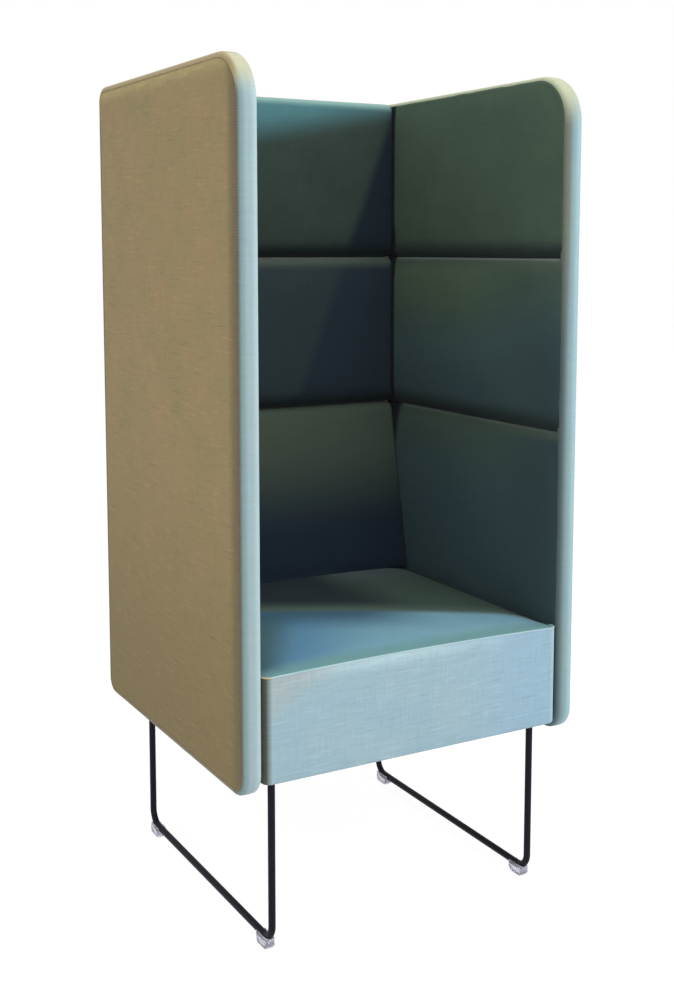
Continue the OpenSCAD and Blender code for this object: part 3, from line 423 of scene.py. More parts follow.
for hand, side in (("left", -1), ("right", 1)):
    lo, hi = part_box(hand + "_outer_cover")
    face_x = max(abs(lo.x), abs(hi.x))
    inner_x = min(abs(lo.x), abs(hi.x))
    low, high = (lo.y, lo.z), (hi.y, hi.z)

    # Panel: flat, with a margin that rolls down into the seam
    start = (low[0] + SEAM_IN, low[1] + SEAM_IN)
    stop = (high[0] - SEAM_IN, high[1] - SEAM_IN)
    a, b, threads = grid(start, stop, MARGIN_LINES, step=0.016)
    y, z, rim = round_corners(a, b, start, stop, {corner: r - SEAM_IN for corner, r in CORNERS.items()})
    uneven = wobble(np.stack([y, z], -1), amount=0.0005, size=0.17, seed=side)
    x = face_x - MARGIN_DROP * (1 - roll(rim, MARGIN)) + uneven * np.minimum(rim / FADE, 1)
    face = np.stack([x, y, z], -1) * (side, 1, 1)
    back = np.stack([np.full_like(x, face_x - COVER_DEPTH), y, z], -1) * (side, 1, 1)
    panel = sew(hand + "_outer_panel", closed(face, back, threads), panel_cloth, hand + "_outer_cover")

    # Band: from the seam, over the edge and the inner arris, to a tuck under the lining
    quarter = [math.radians(turn) for turn in range(0, 91, 10)]
    loop = [(SEAM_IN - inset, face_x - depth) for inset, depth in SEAM_FOLD]
    loop += [(ARRIS * (1 - math.sin(t)), face_x - ARRIS * (1 - math.cos(t))) for t in quarter]
    loop += [(-EDGE_CROWN, (face_x + inner_x) / 2)]
    loop += [(ARRIS * (1 - math.cos(t)), inner_x + ARRIS * (1 - math.sin(t))) for t in quarter]
    loop += [(TUCK, inner_x), (TUCK, inner_x + TUCK_DEPTH), (HEM, inner_x + HEM_DEPTH),
             (HEM, face_x - FOAM_DEPTH), loop[0]]
    rings, runs = [], []
    across = -FOLD_CLOTH
    last = loop[0]
    for inset, x in loop:
        across += math.dist(last, (inset, x))
        last = (inset, x)
        ring, run = outline(low, high, CORNERS, inset)
        rings.append([(x, p[0], p[1]) for p in ring])
        runs.append([(across, s) for s in run])
    band = sew(hand + "_edge_band", [(np.array(rings) * (side, 1, 1), np.array(runs))], band_cloths[hand],
               hand + "_outer_cover")

    # Seam: a ladder of short slanted stitches that draws the panel and the band together
    ring, run = outline(low, high, CORNERS, SEAM_IN, line_step=TRACE)
    marks = np.arange(0.002, run[-1], STITCH_PITCH)
    spots = np.stack([np.interp(marks, run, ring[:, k]) for k in (0, 1)], -1)
    ahead = np.stack([np.interp(marks + TRACE, run, ring[:, k]) for k in (0, 1)], -1) - spots
    ahead /= np.maximum(np.linalg.norm(ahead, axis=1, keepdims=True), 1e-9)
    inward = np.stack([-ahead[:, 1], ahead[:, 0]], -1)
    slant = ahead * STITCH_SLANT
    level = np.full((len(spots), 1), face_x - STITCH_SUNK)
    starts = np.hstack([level, spots + inward * STITCH_IN - slant]) * (side, 1, 1)
    ends = np.hstack([level, spots - inward * STITCH_OUT + slant]) * (side, 1, 1)
    stitches(hand + "_seam_stitches", starts, ends, np.array((side, 0, 0)), STITCH_THICK)


# Back screen
# Its board is covered behind with the same olive-brown cloth, which turns over the top and the
# lower edge with a large radius and ends in front, under the lining.
BACK_ROUND = 0.028
BACK_DEPTH = 0.0085
EDGE_DEPTH = 0.014
LIP = 0.0008
lo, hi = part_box("back_outer_cover")
turns = [math.radians(90 - 90 * i / 12) for i in range(13)]
heights = np.linspace(hi.z - BACK_ROUND, lo.z + BACK_ROUND, 60)[1:-1]
curve = [(BACK_ROUND * (1 - math.cos(t)), BACK_ROUND * (1 - math.sin(t))) for t in turns]
outside = [(lo.y, hi.z - LIP)] + [(hi.y - y, hi.z - z) for y, z in curve] + [(hi.y, z) for z in heights]
outside += [(hi.y - y, lo.z + z) for y, z in curve[::-1]] + [(lo.y, lo.z + LIP)]
inside = [(min(max(y, lo.y), hi.y - BACK_DEPTH), min(max(z, lo.z + EDGE_DEPTH), hi.z - EDGE_DEPTH))
          for y, z in outside]
walked = np.concatenate([[0], np.cumsum([math.dist(p, q) for p, q in zip(outside, outside[1:])])])
across = np.linspace(lo.x, hi.x, 46)
face, back = (np.array([[(x, y, z) for x in across] for y, z in side]) for side in (outside, inside))
threads = np.array([[(x, s) for x in across] for s in walked])
back_panel = sew("back_outer_panel", closed(face, back, threads), panel_cloth, "back_outer_cover")


# Lining pads
# Nine foam pads line the screens in three rows, held by clips on their boards. Each is sewn from
# dark green cloth, with a tight roll along its seams and a flat crown.
ROLL_LINES = [0, 0.0008, 0.002, 0.004, 0.0065, 0.0095, 0.013, 0.018]
SMALL_ROUND = 0.01
LEAN_AT_SEAM = 0.93
LIFT_REACH = 0.1
BOARD_GAP = 0.0004
BACK_SPREAD = 0.0006


def pad_shape(low, high, radii, edge, full, crown, lean, rolls, seed, lift=None):
    """Face, back and threads of a crowned pad over a rectangle: along, up and out from its board. Its
    rolls are the widths at the ends, at the foot and at the top."""
    a, b, threads = grid(low, high, ROLL_LINES, step=0.011)
    y, z, rim = round_corners(a, b, low, high, radii)
    gap_a = np.minimum(a - low[0], high[0] - a)
    gap_b = np.minimum(b - low[1], high[1] - b)
    pull = 1 + wobble(threads, amount=0.35, size=0.035, seed=seed)
    upright = np.where(b > (low[1] + high[1]) / 2, rolls[2], rolls[1])
    swell = roll(gap_a, rolls[0] * pull) * roll(gap_b, upright * pull)
    for (side_a, side_b), r in radii.items():
        if r > SMALL_ROUND:
            edge_a = high[0] if side_a > 0 else low[0]
            edge_b = high[1] if side_b > 0 else low[1]
            past_a = np.maximum(side_a * (a - edge_a) + r, 0)
            past_b = np.maximum(side_b * (b - edge_b) + r, 0)
            share = past_b / np.maximum(past_a + past_b, 1e-9)
            width = rolls[0] + (upright - rolls[0]) * share
            swell = np.where((past_a > 0) & (past_b > 0), roll(rim, width), swell)
    mid_a, mid_b = (low[0] + high[0]) / 2, (low[1] + high[1]) / 2
    share_a = np.abs(a - mid_a) / ((high[0] - low[0]) / 2)
    share_b = np.abs(b - mid_b) / ((high[1] - low[1]) / 2)
    bulge = np.maximum((1 - share_a ** 2) * (1 - share_b ** 2), 0) ** 0.55
    rise = lean * (high[1] - b) / (high[1] - low[1])
    edge = edge + LEAN_AT_SEAM * rise
    out = edge + (full + rise - edge) * swell + crown * bulge
    out += wobble(threads, amount=0.0007, size=0.11, seed=seed + 5) * swell
    if lift is not None:
        z = z + lift(y) * np.maximum(0, 1 - (b - low[1]) / LIFT_REACH)
    face = np.stack([y, z, out], -1)
    back_z = z + BACK_SPREAD * np.sign(z - mid_b) * (gap_b <= 0)
    return face, np.stack([y, back_z, np.full_like(out, BOARD_GAP)], -1), threads


LOW_SEAM = 0.811
HIGH_SEAM = 1.110
SHARP = 0.0005


def under(z):
    """Keeps a wash below a height."""
    return UP, z + SHARP, z - SHARP


def over(z):
    """Keeps a wash above a height."""
    return UP, z - SHARP, z + SHARP


def seam_light_and_shade(z, lit_roll, edge, hollow_shade):
    """Painted light at a seam of the lining: a painted highlight on the roll under the seam, brightest at its
    edge, and painted shade in the groove above it.
    """
    return [(hollow_shade, [(UP, z + 0.040, z + 0.006), over(z)]),
            (lit_roll, [(UP, z - 0.028, z - 0.004), under(z)]),
            (edge, [(UP, z - 0.0065, z - 0.001), under(z)])]


# Painted light and shade on the side lining: painted bluer below the upper row and darker near the bottom,
# lighter near the top of the lower pad, lighter and greener at the rear of the middle pad's top and darker at
# the rear of its foot, and darker towards the front in the two lower rows.
side_lining = wool_cloth("dark_green_wool_cloth", "#4c6050", "#485b4c",
                         [("#4c6363", [(UP, 1.10, 0.94)]), ("#455c62", [(UP, 0.80, 0.60)]),
                          ("#4b6056", [(UP, 0.70, 0.79), under(LOW_SEAM)]),
                          ("#576d58", [(UP, 0.95, 1.06), under(HIGH_SEAM), (REAR, -0.20, 0.0)]),
                          ("#42575c", [(UP, 0.96, 0.86), over(LOW_SEAM), (REAR, -0.25, -0.05)]),
                          ("#36494d", [(FRONT, 0.02, 0.29), (UP, 1.14, 0.90), under(HIGH_SEAM)])]
                         + seam_light_and_shade(LOW_SEAM, "#4a5a4e", "#63726a", "#25302f")
                         + seam_light_and_shade(HIGH_SEAM, "#526054", "#84928a", "#25302f")
                         # Painted shade in the crease where the side lining meets the back lining.
                         + [("#0c1619", [((0, 1, 0.19), 0.358, 0.381), under(LOW_SEAM)]),
                            ("#0f1a20", [(REAR, 0.236, 0.243), over(LOW_SEAM)])],
                         fleck=0.05, sheen=0.06)
# Edge of a painted shadow of the right screen on the back lining, widening downwards.
painted_shadow_edge = ((1, 0, -0.38), -0.266, -0.238)
# Painted light and shade on the back lining: the middle row painted darker and the lower row lighter, the
# lower pad darker and bluer towards its foot, the painted shadow of the right screen on the two upper rows, a
# painted patch of light at the upper pad's top left, the seams as on the sides, and painted shade in the
# crease by the right screen. Along the very top it is paler: the pale rim cloth turns over it there, painted
# in shade.
back_lining = wool_cloth("dark_green_wool_cloth_behind", "#36443f", "#323f3a",
                         [("#2d3a3e", [under(HIGH_SEAM)]), ("#445045", [under(LOW_SEAM)]),
                          ("#1b2835", [(UP, 0.75, 0.55)]), ("#1b2832", [painted_shadow_edge, over(HIGH_SEAM)]),
                          ("#24303a", [painted_shadow_edge, over(LOW_SEAM), under(HIGH_SEAM)]),
                          ("#4d7a80", [((-0.20, 0, 1), 1.318, 1.390)]), ("#86a89e", [(UP, 1.400, 1.419)])]
                         + seam_light_and_shade(LOW_SEAM, "#445046", "#586459", "#141d20")
                         + seam_light_and_shade(HIGH_SEAM, "#4b574d", "#849286", "#141d20")
                         + [("#0c1519", [(RIGHT, 0.276, 0.2835)])],
                         fleck=0.05, sheen=0.06)
LOOSE = {corner: 0.006 for corner in CORNERS}
SHAPED = {(-1, -1): 0.006, (-1, 1): 0.076, (1, 1): 0.022, (1, -1): 0.006}
OVER_RIM = 0.0055
PAST_FRONT = 0.0025
SIDE_PRESS = 0.003
pads = []
board_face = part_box("right_side_board")[0].x
for row in ("lower", "middle", "upper"):
    top_row = row == "upper"
    for hand, side in (("left", -1), ("right", 1)):
        lo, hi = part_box(f"{hand}_pad_{row}")
        top_z = hi.z + OVER_RIM if top_row else hi.z
        face, back, threads = pad_shape((lo.y - PAST_FRONT, lo.z), (hi.y, top_z),
                                        SHAPED if top_row else LOOSE, edge=0.0045, full=0.0112, crown=0.002,
                                        lean=0, rolls=(0.009, 0.013, 0.006 if top_row else 0.013),
                                        seed=side + 2 * len(pads))
        placed = [np.stack([side * (board_face - g[..., 2]), g[..., 0], g[..., 1]], -1) for g in (face, back)]
        made = sew(f"{hand}_{row}_lining", closed(*placed, threads), side_lining, f"{hand}_pad_{row}")
        free_from = 0.0109 if top_row else 0.0105
        pads.append((made, (-side, 0, 0), lambda p: board_face - abs(p.x), free_from, SIDE_PRESS))

SEAT_SIDE_Z = 0.4695
CROWN = 0.005
SWELL = 0.002
seat_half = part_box("seat_border")[1].x
top_lo, top_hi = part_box("seat_top_pad")
mid_y = (top_lo.y + top_hi.y) / 2
half_y = (top_hi.y - top_lo.y) / 2


def seat_height(x, y):
    """Height of the seat's seam or of its top at a place."""
    return (SEAT_SIDE_Z + CROWN * (1 - (x / seat_half) ** 2)
            + SWELL * np.maximum(0, 1 - ((y - mid_y) / half_y) ** 2))


# Back pads: the lower one is a wedge that supports the small of the back, and its foot follows the
# seat's crown
PRESSED_IN = 0.0008
UNDER_RIM = 0.0015
ON_SEAT = 0.0002
SEAT_REAR_Y = 0.19
BACK_FREE = 0.0345
BACK_PRESS = 0.004
board_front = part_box("back_board")[0].y


def foot_lift(x):
    """How far the seat's crown lifts the lower back pad's foot."""
    return seat_height(x, SEAT_REAR_Y) - SEAT_SIDE_Z


for row, lean in (("lower", 0.067), ("middle", 0), ("upper", 0)):
    lo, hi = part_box(f"back_pad_{row}")
    foot_roll, low_z, lift = 0.018, lo.z, None
    if row == "lower":
        foot_roll, low_z, lift = 0.005, SEAT_SIDE_Z + ON_SEAT, foot_lift
    top_z = hi.z - UNDER_RIM if row == "upper" else hi.z
    face, back, threads = pad_shape((lo.x - PRESSED_IN, low_z), (hi.x + PRESSED_IN, top_z), LOOSE, edge=0.016,
                                    full=0.036, crown=0.003, lean=lean, rolls=(0.004, foot_roll, 0.018),
                                    seed=3 + 2 * len(pads), lift=lift)
    placed = [np.stack([g[..., 0], board_front - g[..., 2], g[..., 1]], -1) for g in (face, back)]
    made = sew(f"back_{row}_lining", closed(*placed, threads), back_lining, f"back_pad_{row}")
    pads.append((made, (0, -1, 0), lambda p, lean=lean, low=low_z, high=top_z:
                 board_front - p.y - lean * (high - p.z) / (high - low), BACK_FREE, BACK_PRESS))


# Seat
# A foam block under a sewn cover. Its border, of pale blue cloth, runs round the front and both
# sides, and a crowned top of blue-green cloth is joined to it with a thin welt.
lo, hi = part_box("seat_border")
half, front_y, rear_y, base_z = hi.x, lo.y, hi.y, lo.z
CORNER = 0.015
SIDE_POINTS = 29
BASE_ROUND = 0.005
FOAM_Z = 0.4032
RETURN_LONG = 0.085
REAR_DROP = 0.004
DROP_LONG = 0.04
SEAM_TURN = 0.0035
STRIP_DEEP = 0.0024
STRIP_ROUND = 0.0015
STRIP_FLAT = 0.1
COVER_THICK = 0.0058
TOP_EDGE = ((0.0, SEAM_TURN), (0.0002, 0.0026), (0.0009, 0.0019), (0.002, 0.0021), (COVER_THICK, 0.012))
APRON_THICK = 0.0178
STRIP_THICK = 0.0076
PUFF = 0.0012
PUFF_FADE = 0.05
NUDGE = 0.001


def border_path(inset):
    """Points round the border from the left rear to the right rear."""
    r = CORNER - inset
    left = [(-half + inset, y) for y in np.linspace(rear_y, front_y + CORNER, SIDE_POINTS + 1)[:-1]]
    left += [(-half + CORNER - r * math.cos(t), front_y + CORNER - r * math.sin(t))
             for t in np.radians(np.linspace(0, 90, 9))]
    front = [(x, front_y + inset) for x in np.linspace(-half + CORNER, half - CORNER, 50)[1:-1]]
    return np.array(left + front + [(-x, y) for x, y in left[::-1]])


path = border_path(0)
run = np.concatenate([[0], np.cumsum(np.linalg.norm(np.diff(path, axis=0), axis=1))])
heights = np.array([seat_height(x, y) for x, y in path])
heights -= REAR_DROP * np.clip((path[:, 1] - front_y - CORNER) / DROP_LONG, 0, 1)
deep = path[:, 1] <= front_y + RETURN_LONG
from_corner = np.minimum(np.abs(run - run[SIDE_POINTS + 4]), np.abs(run - run[-SIDE_POINTS - 5]))
section = [("low", BASE_ROUND * (1 - math.sin(t)), BASE_ROUND * (1 - math.cos(t)))
           for t in np.radians(np.linspace(0, 90, 8))]
section += [("side", 0.0, share) for share in np.linspace(0, 1, 16)[1:-1]]
section += [("top", inset, below) for inset, below in TOP_EDGE]
floor_z = np.where(deep, base_z, FOAM_Z - STRIP_DEEP)
rows, marks = [], []
for kind, inset, value in section:
    ring = border_path(inset)
    if kind == "low":
        z = floor_z + value * np.where(deep, 1, STRIP_FLAT)
    elif kind == "side":
        low_z = floor_z + np.where(deep, BASE_ROUND, STRIP_ROUND)
        z = low_z + (heights - SEAM_TURN - low_z) * value
    else:
        z = heights - value
    inwards = np.column_stack([border_path(inset + NUDGE) - ring, np.zeros(len(run))]) / NUDGE
    share = np.clip((z - base_z) / (heights - base_z), 0, 1)
    puff = np.sin(np.pi * share) * np.minimum(from_corner / PUFF_FADE, 1)
    rows.append(np.column_stack([ring, z]) - inwards * PUFF * (puff * deep)[:, None])
    marks.append(np.column_stack([run, z + inset]))
foam_z = np.full(len(run), FOAM_Z)
inner = np.where(deep[:, None], border_path(APRON_THICK), border_path(STRIP_THICK))
for ring, z in ((border_path(COVER_THICK), foam_z), (inner, foam_z), (inner, floor_z)):
    rows.append(np.column_stack([ring, z]))
    marks.append(np.column_stack([run, z + 0.1]))
rows, marks = np.array(rows + rows[:1]), np.array(marks + marks[:1])

# Painted light on the border: a painted highlight along its top and on its right front corner, painted shade
# with a warm olive tint round its left front corner, and painted shade on its sides behind the front. Its
# paler upper left and bluer right side are the cloth's own patches.
border_cloth = wool_cloth("pale_blue_wool_cloth", "#9bb9c6", "#a3bcc6",
                          [("#b3ced7", [(UP, 0.448, 0.468)]), ("#a9b7ba", [((-0.6, 0, 1), 0.53, 0.62)]),
                           ("#9abace", [(RIGHT, 0.0, 0.24)]), ("#b4d2dd", [(RIGHT, 0.268, 0.281)]),
                           ("#84999c", [(LEFT, 0.2715, 0.2755)]), ("#55564a", [(LEFT, 0.2755, 0.2812)]),
                           ("#333f3e", [(REAR, -0.286, -0.268)])],
                          slub=0.04, fleck=0.10)
patches = [(rows, marks)]
for column in (0, -1):
    ends = rows[:, column]
    patches.append((np.stack([ends, np.tile(ends[:-1].mean(0), (len(ends), 1))]),
                    np.stack([marks[:, column], marks[:, column] + 0.005])))
made = sew("seat_border_cover", patches, border_cloth, "seat_border")

# Welt: a thin cord under cloth in the seam round the top
WELT_IN = 0.0007
WELT_DOWN = 0.0010
WELT_RADIUS = 0.0013
# Painted light on the welt: a painted warm highlight round the left front corner, and painted shade along the
# sides.
welt_cloth = wool_cloth("welt_cloth", "#b9d5de", "#b0cdd6",
                        [("#c9bf98", [(LEFT, 0.268, 0.274)]), ("#2c3835", [(REAR, -0.293, -0.275)])],
                        slub=0.01, fleck=0.05)
line = np.column_stack([border_path(WELT_IN), heights - WELT_DOWN])
ahead = np.gradient(line, axis=0)
ahead /= np.linalg.norm(ahead, axis=1, keepdims=True)
side = np.cross(ahead, UP)
side /= np.linalg.norm(side, axis=1, keepdims=True)
up = np.cross(side, ahead)
turns = [k * math.tau / 10 for k in range(11)]
rings = np.array([line + WELT_RADIUS * (math.cos(turn) * side + math.sin(turn) * up) for turn in turns])
marks = np.array([np.column_stack([run, np.full(len(run), turn * WELT_RADIUS)]) for turn in turns])
patches = [(rings, marks)]
for column in (0, -1):
    patches.append((np.stack([rings[:, column], np.tile(line[column], (len(turns), 1))]),
                    np.stack([marks[:, column], marks[:, column]])))
welt = sew("seat_top_welt", patches, welt_cloth)

# Top: a crowned sheet of cloth over soft foam, drawn down to the welt all round. The shade on it is
# painted into its colour: a painted shadow over its rear part, whose edge runs along a slanted line
TO_REAR = (0.49, 0.87, 0)
TO_LEFT = (-0.87, 0.49, 0)
# Painted shadow on the top: painted dark over the rear, darkest at the rear left, with an olive fringe along
# its edge, and painted shade growing towards the left screen. The rear right is painted a little lighter, and
# the front edge is greener.
top_cloth = wool_cloth("blue_green_wool_cloth", "#77a5b7", "#7faab9",
                       [("#5f90ae", [(TO_LEFT, -0.09, 0.06)]), ("#486a6f", [(TO_LEFT, 0.045, 0.115)]),
                        ("#3d6277", [(TO_REAR, -0.20, -0.075), (TO_LEFT, -0.21, -0.04)]),
                        ("#6e999b", [(FRONT, 0.255, 0.295)]), ("#4f6258", [(TO_REAR, -0.085, -0.052)]),
                        ("#3d5047", [(TO_REAR, -0.068, -0.010)]),
                        ("#1a272c", [(TO_REAR, -0.06, 0.01), (LEFT, -0.17, -0.03)]),
                        ("#4a5659", [(REAR, 0.06, 0.16), (RIGHT, 0.04, 0.16)])],
                       fleck=0.06, sheen=0.03)
TOP_LINES = [0, 0.0008, 0.002, 0.004, 0.0075, 0.013]
TOP_IN = 0.0018
TOP_CORNERS = {(-1, -1): 0.0132, (1, -1): 0.0132, (-1, 1): 0.005, (1, 1): 0.005}
EDGE_DROP = 0.0030
EDGE_WIDE = 0.010
FULLER = 0.0012
NARROWER, SHORTER, BEHIND = 0.9775, 0.983, 0.002
TOP_THICK = 0.0105
TOP_FREE = 0.009
TOP_PRESS = 0.004
start = (-half + TOP_IN, front_y + TOP_IN)
stop = (half - TOP_IN, top_hi.y)
a, b, threads = grid(start, stop, TOP_LINES, step=0.012)
x, y, rim = round_corners(a, b, start, stop, TOP_CORNERS)
sag = EDGE_DROP * (1 - np.minimum(rim / EDGE_WIDE, 1)) ** 2 - FULLER * np.minimum(rim / DROP_LONG, 1)
beside = np.maximum(0, 1 - (half - np.abs(x)) / DROP_LONG)
sag = sag + REAR_DROP * beside ** 2 * np.clip((y - front_y - CORNER) / DROP_LONG, 0, 1)
dent = wobble(np.stack([x, y], -1), amount=0.0008, size=0.13, seed=4)
top = np.stack([x, y, seat_height(x, y) - sag + dent * np.minimum(rim / FADE, 1)], -1)
foam_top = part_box("seat_foam")[1].z
under_top = np.stack([x * NARROWER, y * SHORTER + BEHIND, np.full_like(x, foam_top)], -1)
seat_top = sew("seat_cushion_top", closed(top, under_top, threads), top_cloth, "seat_top_pad")
pads.append((seat_top, UP, lambda p: p.z - seat_height(p.x, p.y) + TOP_THICK, TOP_FREE, TOP_PRESS))


# Filling
# The foam behind each cover presses it outwards, so air pressure in a cloth simulation gives the
# pads and the seat's top their last fullness. In pads, each piece comes with its way out, a point's
# depth, the depth from which the cloth is free, and the most that it moves.
STEPS = 20
HOLD_FADE = 0.0012
for piece, outward, depth, free_from, most in pads:
    held = piece.vertex_groups.new(name="held")
    for v in piece.data.vertices:
        held.add([v.index], float(np.clip(1 - (depth(v.co) - free_from) / HOLD_FADE, 0, 1)), "REPLACE")
    cloth = piece.modifiers.new("filling", "CLOTH")
    cloth.settings.quality = 4
    cloth.settings.mass = 0.3
    cloth.settings.tension_stiffness = 20
    cloth.settings.compression_stiffness = 20
    cloth.settings.shear_stiffness = 8
    cloth.settings.bending_stiffness = 2
    cloth.settings.shrink_min = -0.004
    cloth.settings.use_pressure = True
    cloth.settings.uniform_pressure_force = 4
    cloth.settings.vertex_group_mass = "held"
    cloth.settings.effector_weights.gravity = 0
    cloth.point_cache.frame_start = 1
    cloth.point_cache.frame_end = STEPS
for step in range(STEPS):
    scene.frame_set(step + 1)
shapes = bpy.context.evaluated_depsgraph_get()
for piece, outward, depth, free_from, most in pads:
    pressed = piece.evaluated_get(shapes).to_mesh()
    before, after = np.zeros(3 * len(piece.data.vertices)), np.zeros(3 * len(piece.data.vertices))
    piece.data.vertices.foreach_get("co", before)
    pressed.vertices.foreach_get("co", after)
    piece.evaluated_get(shapes).to_mesh_clear()
    press = np.maximum((after - before).reshape(-1, 3) @ np.array(outward), 0)
    move = np.outer(most * np.tanh(press / most), outward)
    piece.modifiers.clear()
    piece.vertex_groups.clear()
    piece.data.vertices.foreach_set("co", before + move.ravel())
    piece.data.update()
scene.frame_set(1)


# Foam block
# Open-cell polyurethane upholstery foam under the seat's top, cut square and rounded by its cover.
# It is cream-coloured and quite matt, and its cells show as fine pits.
def two_shades(tree, tint, first, second, height, strength, depth, skin):
    """Ends a material: two shades mixed by one pattern, and relief from another."""
    colour = add(tree, "ShaderNodeMix", {0: tint, 6: linear(first), 7: linear(second)}, data_type="RGBA")
    relief = add(tree, "ShaderNodeBump", {"Height": height, "Strength": strength, "Distance": depth})
    surface = add(tree, "ShaderNodeBsdfPrincipled", {"Base Color": colour.outputs[2],
                                                     "Normal": relief.outputs[0], **skin})
    add(tree, "ShaderNodeOutputMaterial", {"Surface": surface.outputs[0]})


FOAM_CELL = 1 / 420
FOAM_ROUND = 0.009
FOAM_DROP = 0.003
FOAM_EDGE = 0.005
UNDER_TOP = 0.0002
foam_cells, tree = blank_material("open_cell_foam")
spot = add(tree, "ShaderNodeTexCoord", {}).outputs["Object"]
cells = add(tree, "ShaderNodeTexVoronoi", {"Vector": spot, "Scale": 1 / FOAM_CELL})
two_shades(tree, cells.outputs[0], "#cdbf96", "#e9dfc0", cells.outputs[0], 0.6, 0.001, {"Roughness": 0.95})
lo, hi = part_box("seat_foam")
a, b, threads = grid(lo, hi, [0, 0.002, FOAM_EDGE], step=0.03)
x, y, rim = round_corners(a, b, lo, hi, {corner: FOAM_ROUND for corner in CORNERS})
drop = FOAM_DROP * (1 - np.minimum(rim / FOAM_EDGE, 1)) ** 2
face, back = np.stack([x, y, hi.z - UNDER_TOP - drop], -1), np.stack([x, y, lo.z + drop], -1)
block = sew("seat_foam_block", closed(face, back, threads), foam_cells, "seat_foam")


# Webbing
# Bands of elastic and black polypropylene yarn, woven over and under each other and stapled to the
# rails, carry the foam. Their ribs run along and across each band.
WEB_WIDE = 0.058
WEB_THICK = 0.0012
WEB_RISE = 0.0009
WEB_FLAT = 1.6
RIB = 0.0044
CROSS_RIB = 0.006
webbing, tree = blank_material("polypropylene_webbing")
spot = add(tree, "ShaderNodeTexCoord", {}).outputs["UV"]
waves = [add(tree, "ShaderNodeTexWave", {"Vector": spot, "Scale": math.pi / (10 * size)},
             bands_direction=direction).outputs["Fac"] for direction, size in (("X", RIB), ("Y", CROSS_RIB))]
both = add(tree, "ShaderNodeMath", {0: waves[0], 1: waves[1]}, operation="MULTIPLY")
two_shades(tree, both.outputs[0], "#1a1a1d", "#38383d", both.outputs[0], 0.5, 0.0005, {"Roughness": 0.7})
rail_lo, rail_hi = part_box("seat_right_rail")
long_lo, long_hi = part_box("webbing_long")
cross_lo, cross_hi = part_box("webbing_cross")
long_pitch = 2 * rail_lo.x / 6
cross_pitch = (rail_hi.y - rail_lo.y) / 5
long_mids = [-rail_lo.x + (i + 0.5) * long_pitch for i in range(6)]
cross_mids = [rail_lo.y + (i + 0.5) * cross_pitch for i in range(5)]
middle_z = (long_lo.z + cross_hi.z) / 2
for name, mids, others, low, high, flip, node in (
        ("long_webbing", long_mids, cross_mids, long_lo.y, long_hi.y, 1, "webbing_long"),
        ("cross_webbing", cross_mids, long_mids, cross_lo.x, cross_hi.x, -1, "webbing_cross")):
    patches = []
    pitch = others[1] - others[0]
    for i, middle in enumerate(mids):
        along, wide = np.meshgrid(np.linspace(low, high, 70),
                                  np.linspace(middle - WEB_WIDE / 2, middle + WEB_WIDE / 2, 5))
        wave = np.cos(math.pi * (along - others[0]) / pitch) * (-1) ** i * flip
        z = middle_z + WEB_RISE * np.clip(wave * WEB_FLAT, -1, 1)
        flat = (wide, along) if node == "webbing_long" else (along, wide)
        face, back = (np.stack([*flat, z + shift], -1) for shift in (WEB_THICK / 2, -WEB_THICK / 2))
        patches += closed(face, back, np.stack([wide, along], -1))
    made = sew(name, patches, webbing, node)


# Seat frame and boards
# Beech rails and corner blocks, planed and glued, and birch plywood boards and spacers. Both are
# pale and half matt under a thin lacquer, with rings drawn out along the grain and dark pores.
PORE = 0.0008
PORE_LONG = 0.006
DRAWN_OUT = 22


def wood(name, pale, dark, grain, ring, rough):
    """Planed wood whose grain runs along one axis: rings, streaks and pores."""
    made, tree = blank_material(name)
    spot = add(tree, "ShaderNodeTexCoord", {}).outputs["Object"]
    stretch = [1 / ring] * 3
    stretch[grain] = 1 / (ring * DRAWN_OUT)
    run = add(tree, "ShaderNodeMapping", {"Vector": spot, "Scale": stretch})
    figure = add(tree, "ShaderNodeTexNoise", {"Vector": run.outputs[0], "Scale": 1.0, "Detail": 5.0})
    pores = [1 / PORE] * 3
    pores[grain] = 1 / PORE_LONG
    fine = add(tree, "ShaderNodeMapping", {"Vector": spot, "Scale": pores})
    flecks = add(tree, "ShaderNodeTexNoise", {"Vector": fine.outputs[0], "Scale": 1.0, "Detail": 1.0})
    level = add(tree, "ShaderNodeMath", {0: flecks.outputs[0], 1: 0.35, 2: figure.outputs[0]},
                operation="MULTIPLY_ADD")
    amount = add(tree, "ShaderNodeMapRange", {"Value": level.outputs[0], "From Min": 0.5, "From Max": 0.85})
    two_shades(tree, amount.outputs[0], pale, dark, level.outputs[0], 0.2, 0.0005, {"Roughness": rough})
    return made


def dress(material, *nodes):
    """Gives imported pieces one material."""
    for node in nodes:
        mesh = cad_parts[node].data
        mesh.materials.clear()
        mesh.materials.append(material)


dress(wood("planed_beech_along", "#dcbf93", "#b98f5f", grain=0, ring=0.012, rough=0.6), "seat_front_rail",
      "seat_rear_rail", "seat_cross_rail")
dress(wood("planed_beech", "#dcbf93", "#b98f5f", grain=1, ring=0.012, rough=0.6), "seat_left_rail",
      "seat_right_rail")
dress(wood("beech_blocks", "#d5b585", "#b08656", grain=2, ring=0.010, rough=0.65), "seat_corner_blocks")
dress(wood("birch_plywood", "#d9bd8e", "#c0996a", grain=2, ring=0.030, rough=0.55), "left_side_board",
      "right_side_board", "back_board", "left_seat_spacer", "right_seat_spacer", "rear_seat_spacer")


